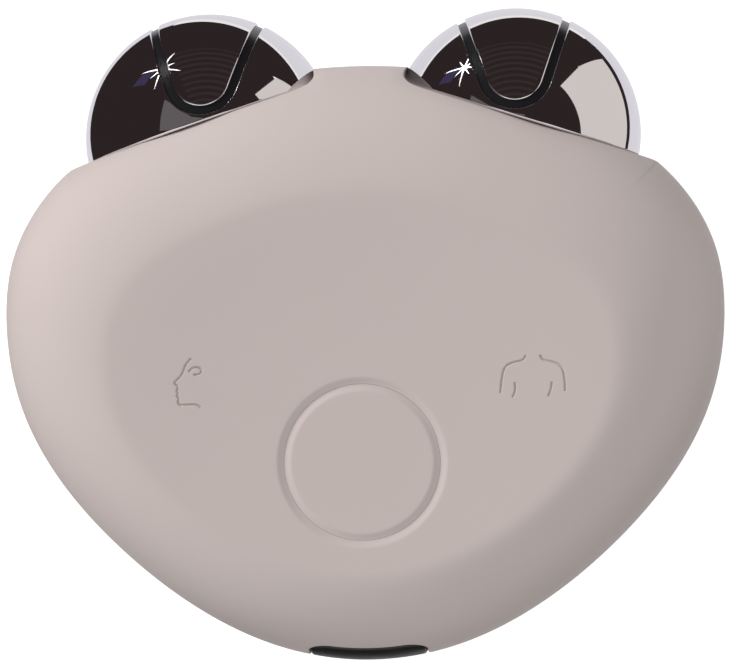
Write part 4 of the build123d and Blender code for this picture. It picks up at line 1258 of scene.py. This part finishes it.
# Round the object the floor shows pale in the domes, then a bright edge, then a dark flag.
# On the right a thin dark line and a warm floor and wall take the flag's place.
HUB = (0.006, 0.004)
PALE_START, PALE_REACH, PALE_HEIGHT = 0.010, 0.060, 0.0004
EDGE_START, EDGE_END, EDGE_HEIGHT = 0.0565, 0.0615, 0.0006
LINE_END, FLAG_REACH, FLAG_HEIGHT = 0.068, 1.2, 0.0005
WALL_START, WALL_END, WALL_REACH, WALL_HEIGHT = -12, 46, 0.45, 0.26
ALL_ROUND, BEHIND, IN_FRONT = (0, 360), (55, 125), (205, 335)
RIGHT, REST = (WALL_START, WALL_END), (WALL_END, 360 + WALL_START)
for name, span, count, near, far, material in (
    ("pale_floor", ALL_ROUND, 96, (PALE_START, PALE_HEIGHT, HUB), (PALE_REACH, PALE_HEIGHT, HUB), PALE),
    ("bright_edge", BEHIND, 40, (EDGE_START, EDGE_HEIGHT, HUB), (EDGE_END, EDGE_HEIGHT, HUB), WHITE),
    ("flag_floor", REST, 96, (PALE_REACH, FLAG_HEIGHT, HUB), (FLAG_REACH, FLAG_HEIGHT), DARK),
    ("flag_line", RIGHT, 32, (PALE_REACH, FLAG_HEIGHT, HUB), (LINE_END, FLAG_HEIGHT, HUB), DARK),
    ("right_floor", RIGHT, 32, (LINE_END, FLAG_HEIGHT, HUB), (WALL_REACH, FLAG_HEIGHT), WARM),
    ("right_wall", RIGHT, 32, (WALL_REACH, 0.0), (WALL_REACH, WALL_HEIGHT), WARM),
    ("front_wall", IN_FRONT, 48, (0.8, 0.02), (0.45, 0.95), WHITE),
):
    band(name, span, count, near, far, material)
tent(FLAG_REACH, DARK)
mirrored_card(
    "grey_card", [(-0.36, 0.08), (0.10, 0.08), (0.08, 0.15), (-0.12, 0.18), (-0.32, 0.31)],
    reach=0.8, material=glow("card_grey", (0.13, 0.12, 0.12)),
)
mirrored_card(
    "violet_card", [(-0.66, 0.38), (-0.48, 0.42), (-0.40, 0.53), (-0.58, 0.47)],
    reach=0.9, material=glow("card_violet", (0.050, 0.040, 0.085)),
)

# Faint stripes on the back of the tent, seen as ripples in the tongues.
STRIPE = glow("card_stripe", (0.040, 0.029, 0.028))
STRIPE_REACH, STRIPE_SPAN = 1.15, (66, 114)
STRIPE_LOWS, STRIPE_HEIGHT = range(-1, 56, 6), 2.5  # degrees up the tent
for number, low in enumerate(STRIPE_LOWS):
    edges = []
    for height in (radians(low), radians(low + STRIPE_HEIGHT)):
        edges.append((STRIPE_REACH * cos(height), STRIPE_REACH * sin(height)))
    band(f"stripe_{number}", STRIPE_SPAN, 32, *edges, STRIPE)

# A spark in each dome.
CARD_AIM = (0.0, 0.02, 0.03)
star_card(
    "spark_card", (-0.272, 0.408, 0.100), rays=4, reach=0.15, core=0.008,
    material=glow("spark", (1, 0.98, 0.96), strength=8.0),
)

KEY_PLACE, KEY_AIM, KEY_SIZE, KEY_POWER = (-0.77, 0.54, 0.38), (0, 0, 0.02), 0.28, 6.8
WORLD_LIGHT = 0.71


def key_light():
    """The one lamp, a softbox on the left that the domes don't mirror."""
    data = bpy.data.lights.new("key", "AREA")
    data.size = KEY_SIZE
    data.energy = KEY_POWER
    lamp = bpy.data.objects.new("key", data)
    lamp.location = KEY_PLACE
    lamp.rotation_euler = (Vector(KEY_AIM) - Vector(KEY_PLACE)).to_track_quat("-Z", "Y").to_euler()
    lamp.visible_glossy = False
    bpy.context.scene.collection.objects.link(lamp)


def studio_world():
    """White light from all round, and pure white for the camera past the floor's end."""
    world = bpy.data.worlds.new("studio")
    bpy.context.scene.world = world
    world.use_nodes = True
    tree = world.node_tree
    background = tree.nodes["Background"]
    background.inputs["Color"].default_value = (1, 1, 1, 1)
    path = tree.nodes.new("ShaderNodeLightPath")
    strength = spread(tree, path.outputs["Is Camera Ray"], WORLD_LIGHT, 1.0, 0.0, 1.0)
    tree.links.new(strength, background.inputs["Strength"])


key_light()
studio_world()
scene = bpy.context.scene
scene.view_settings.view_transform = "Standard"

# -------- camera
YAW, PITCH, ROLL = radians(-2.28), radians(2.83), radians(1.04)
TARGET = (0, -4.65, 19.5)  # the point looked at and the distance from it, in millimetres
DISTANCE = 431.07
SENSOR_WIDTH = 36.0
FOCAL = 3602.0  # pixels, as are the frame's size and the place of the camera's axis in it
FRAME_WIDTH, FRAME_HEIGHT = 731, 664
AXIS_PIXEL = (367.30, 372.49)


def make_camera():
    """The camera at the photographed angle, aimed so that its axis is the frame's centre."""
    turns = [Matrix.Rotation(angle, 3, axis) for angle, axis in ((ROLL, "Z"), (PITCH, "X"), (YAW, "Y"))]
    turn = (turns[0] @ turns[1] @ turns[2]).transposed()
    place = turn @ Vector((0, 0, DISTANCE)) + Vector(TARGET)
    pose = Matrix.Translation(place * MM) @ turn.to_4x4()
    up = atan((AXIS_PIXEL[1] - FRAME_HEIGHT / 2) / FOCAL)
    left = atan((AXIS_PIXEL[0] - FRAME_WIDTH / 2) / FOCAL)
    pose = pose @ Matrix.Rotation(up, 4, "X") @ Matrix.Rotation(left, 4, "Y")
    data = bpy.data.cameras.new("camera")
    data.sensor_width = SENSOR_WIDTH
    data.sensor_fit = "HORIZONTAL"
    data.lens = FOCAL * SENSOR_WIDTH / FRAME_WIDTH
    data.clip_start = 0.01
    camera = bpy.data.objects.new("camera", data)
    camera.matrix_world = pose
    scene.collection.objects.link(camera)
    scene.camera = camera


make_camera()
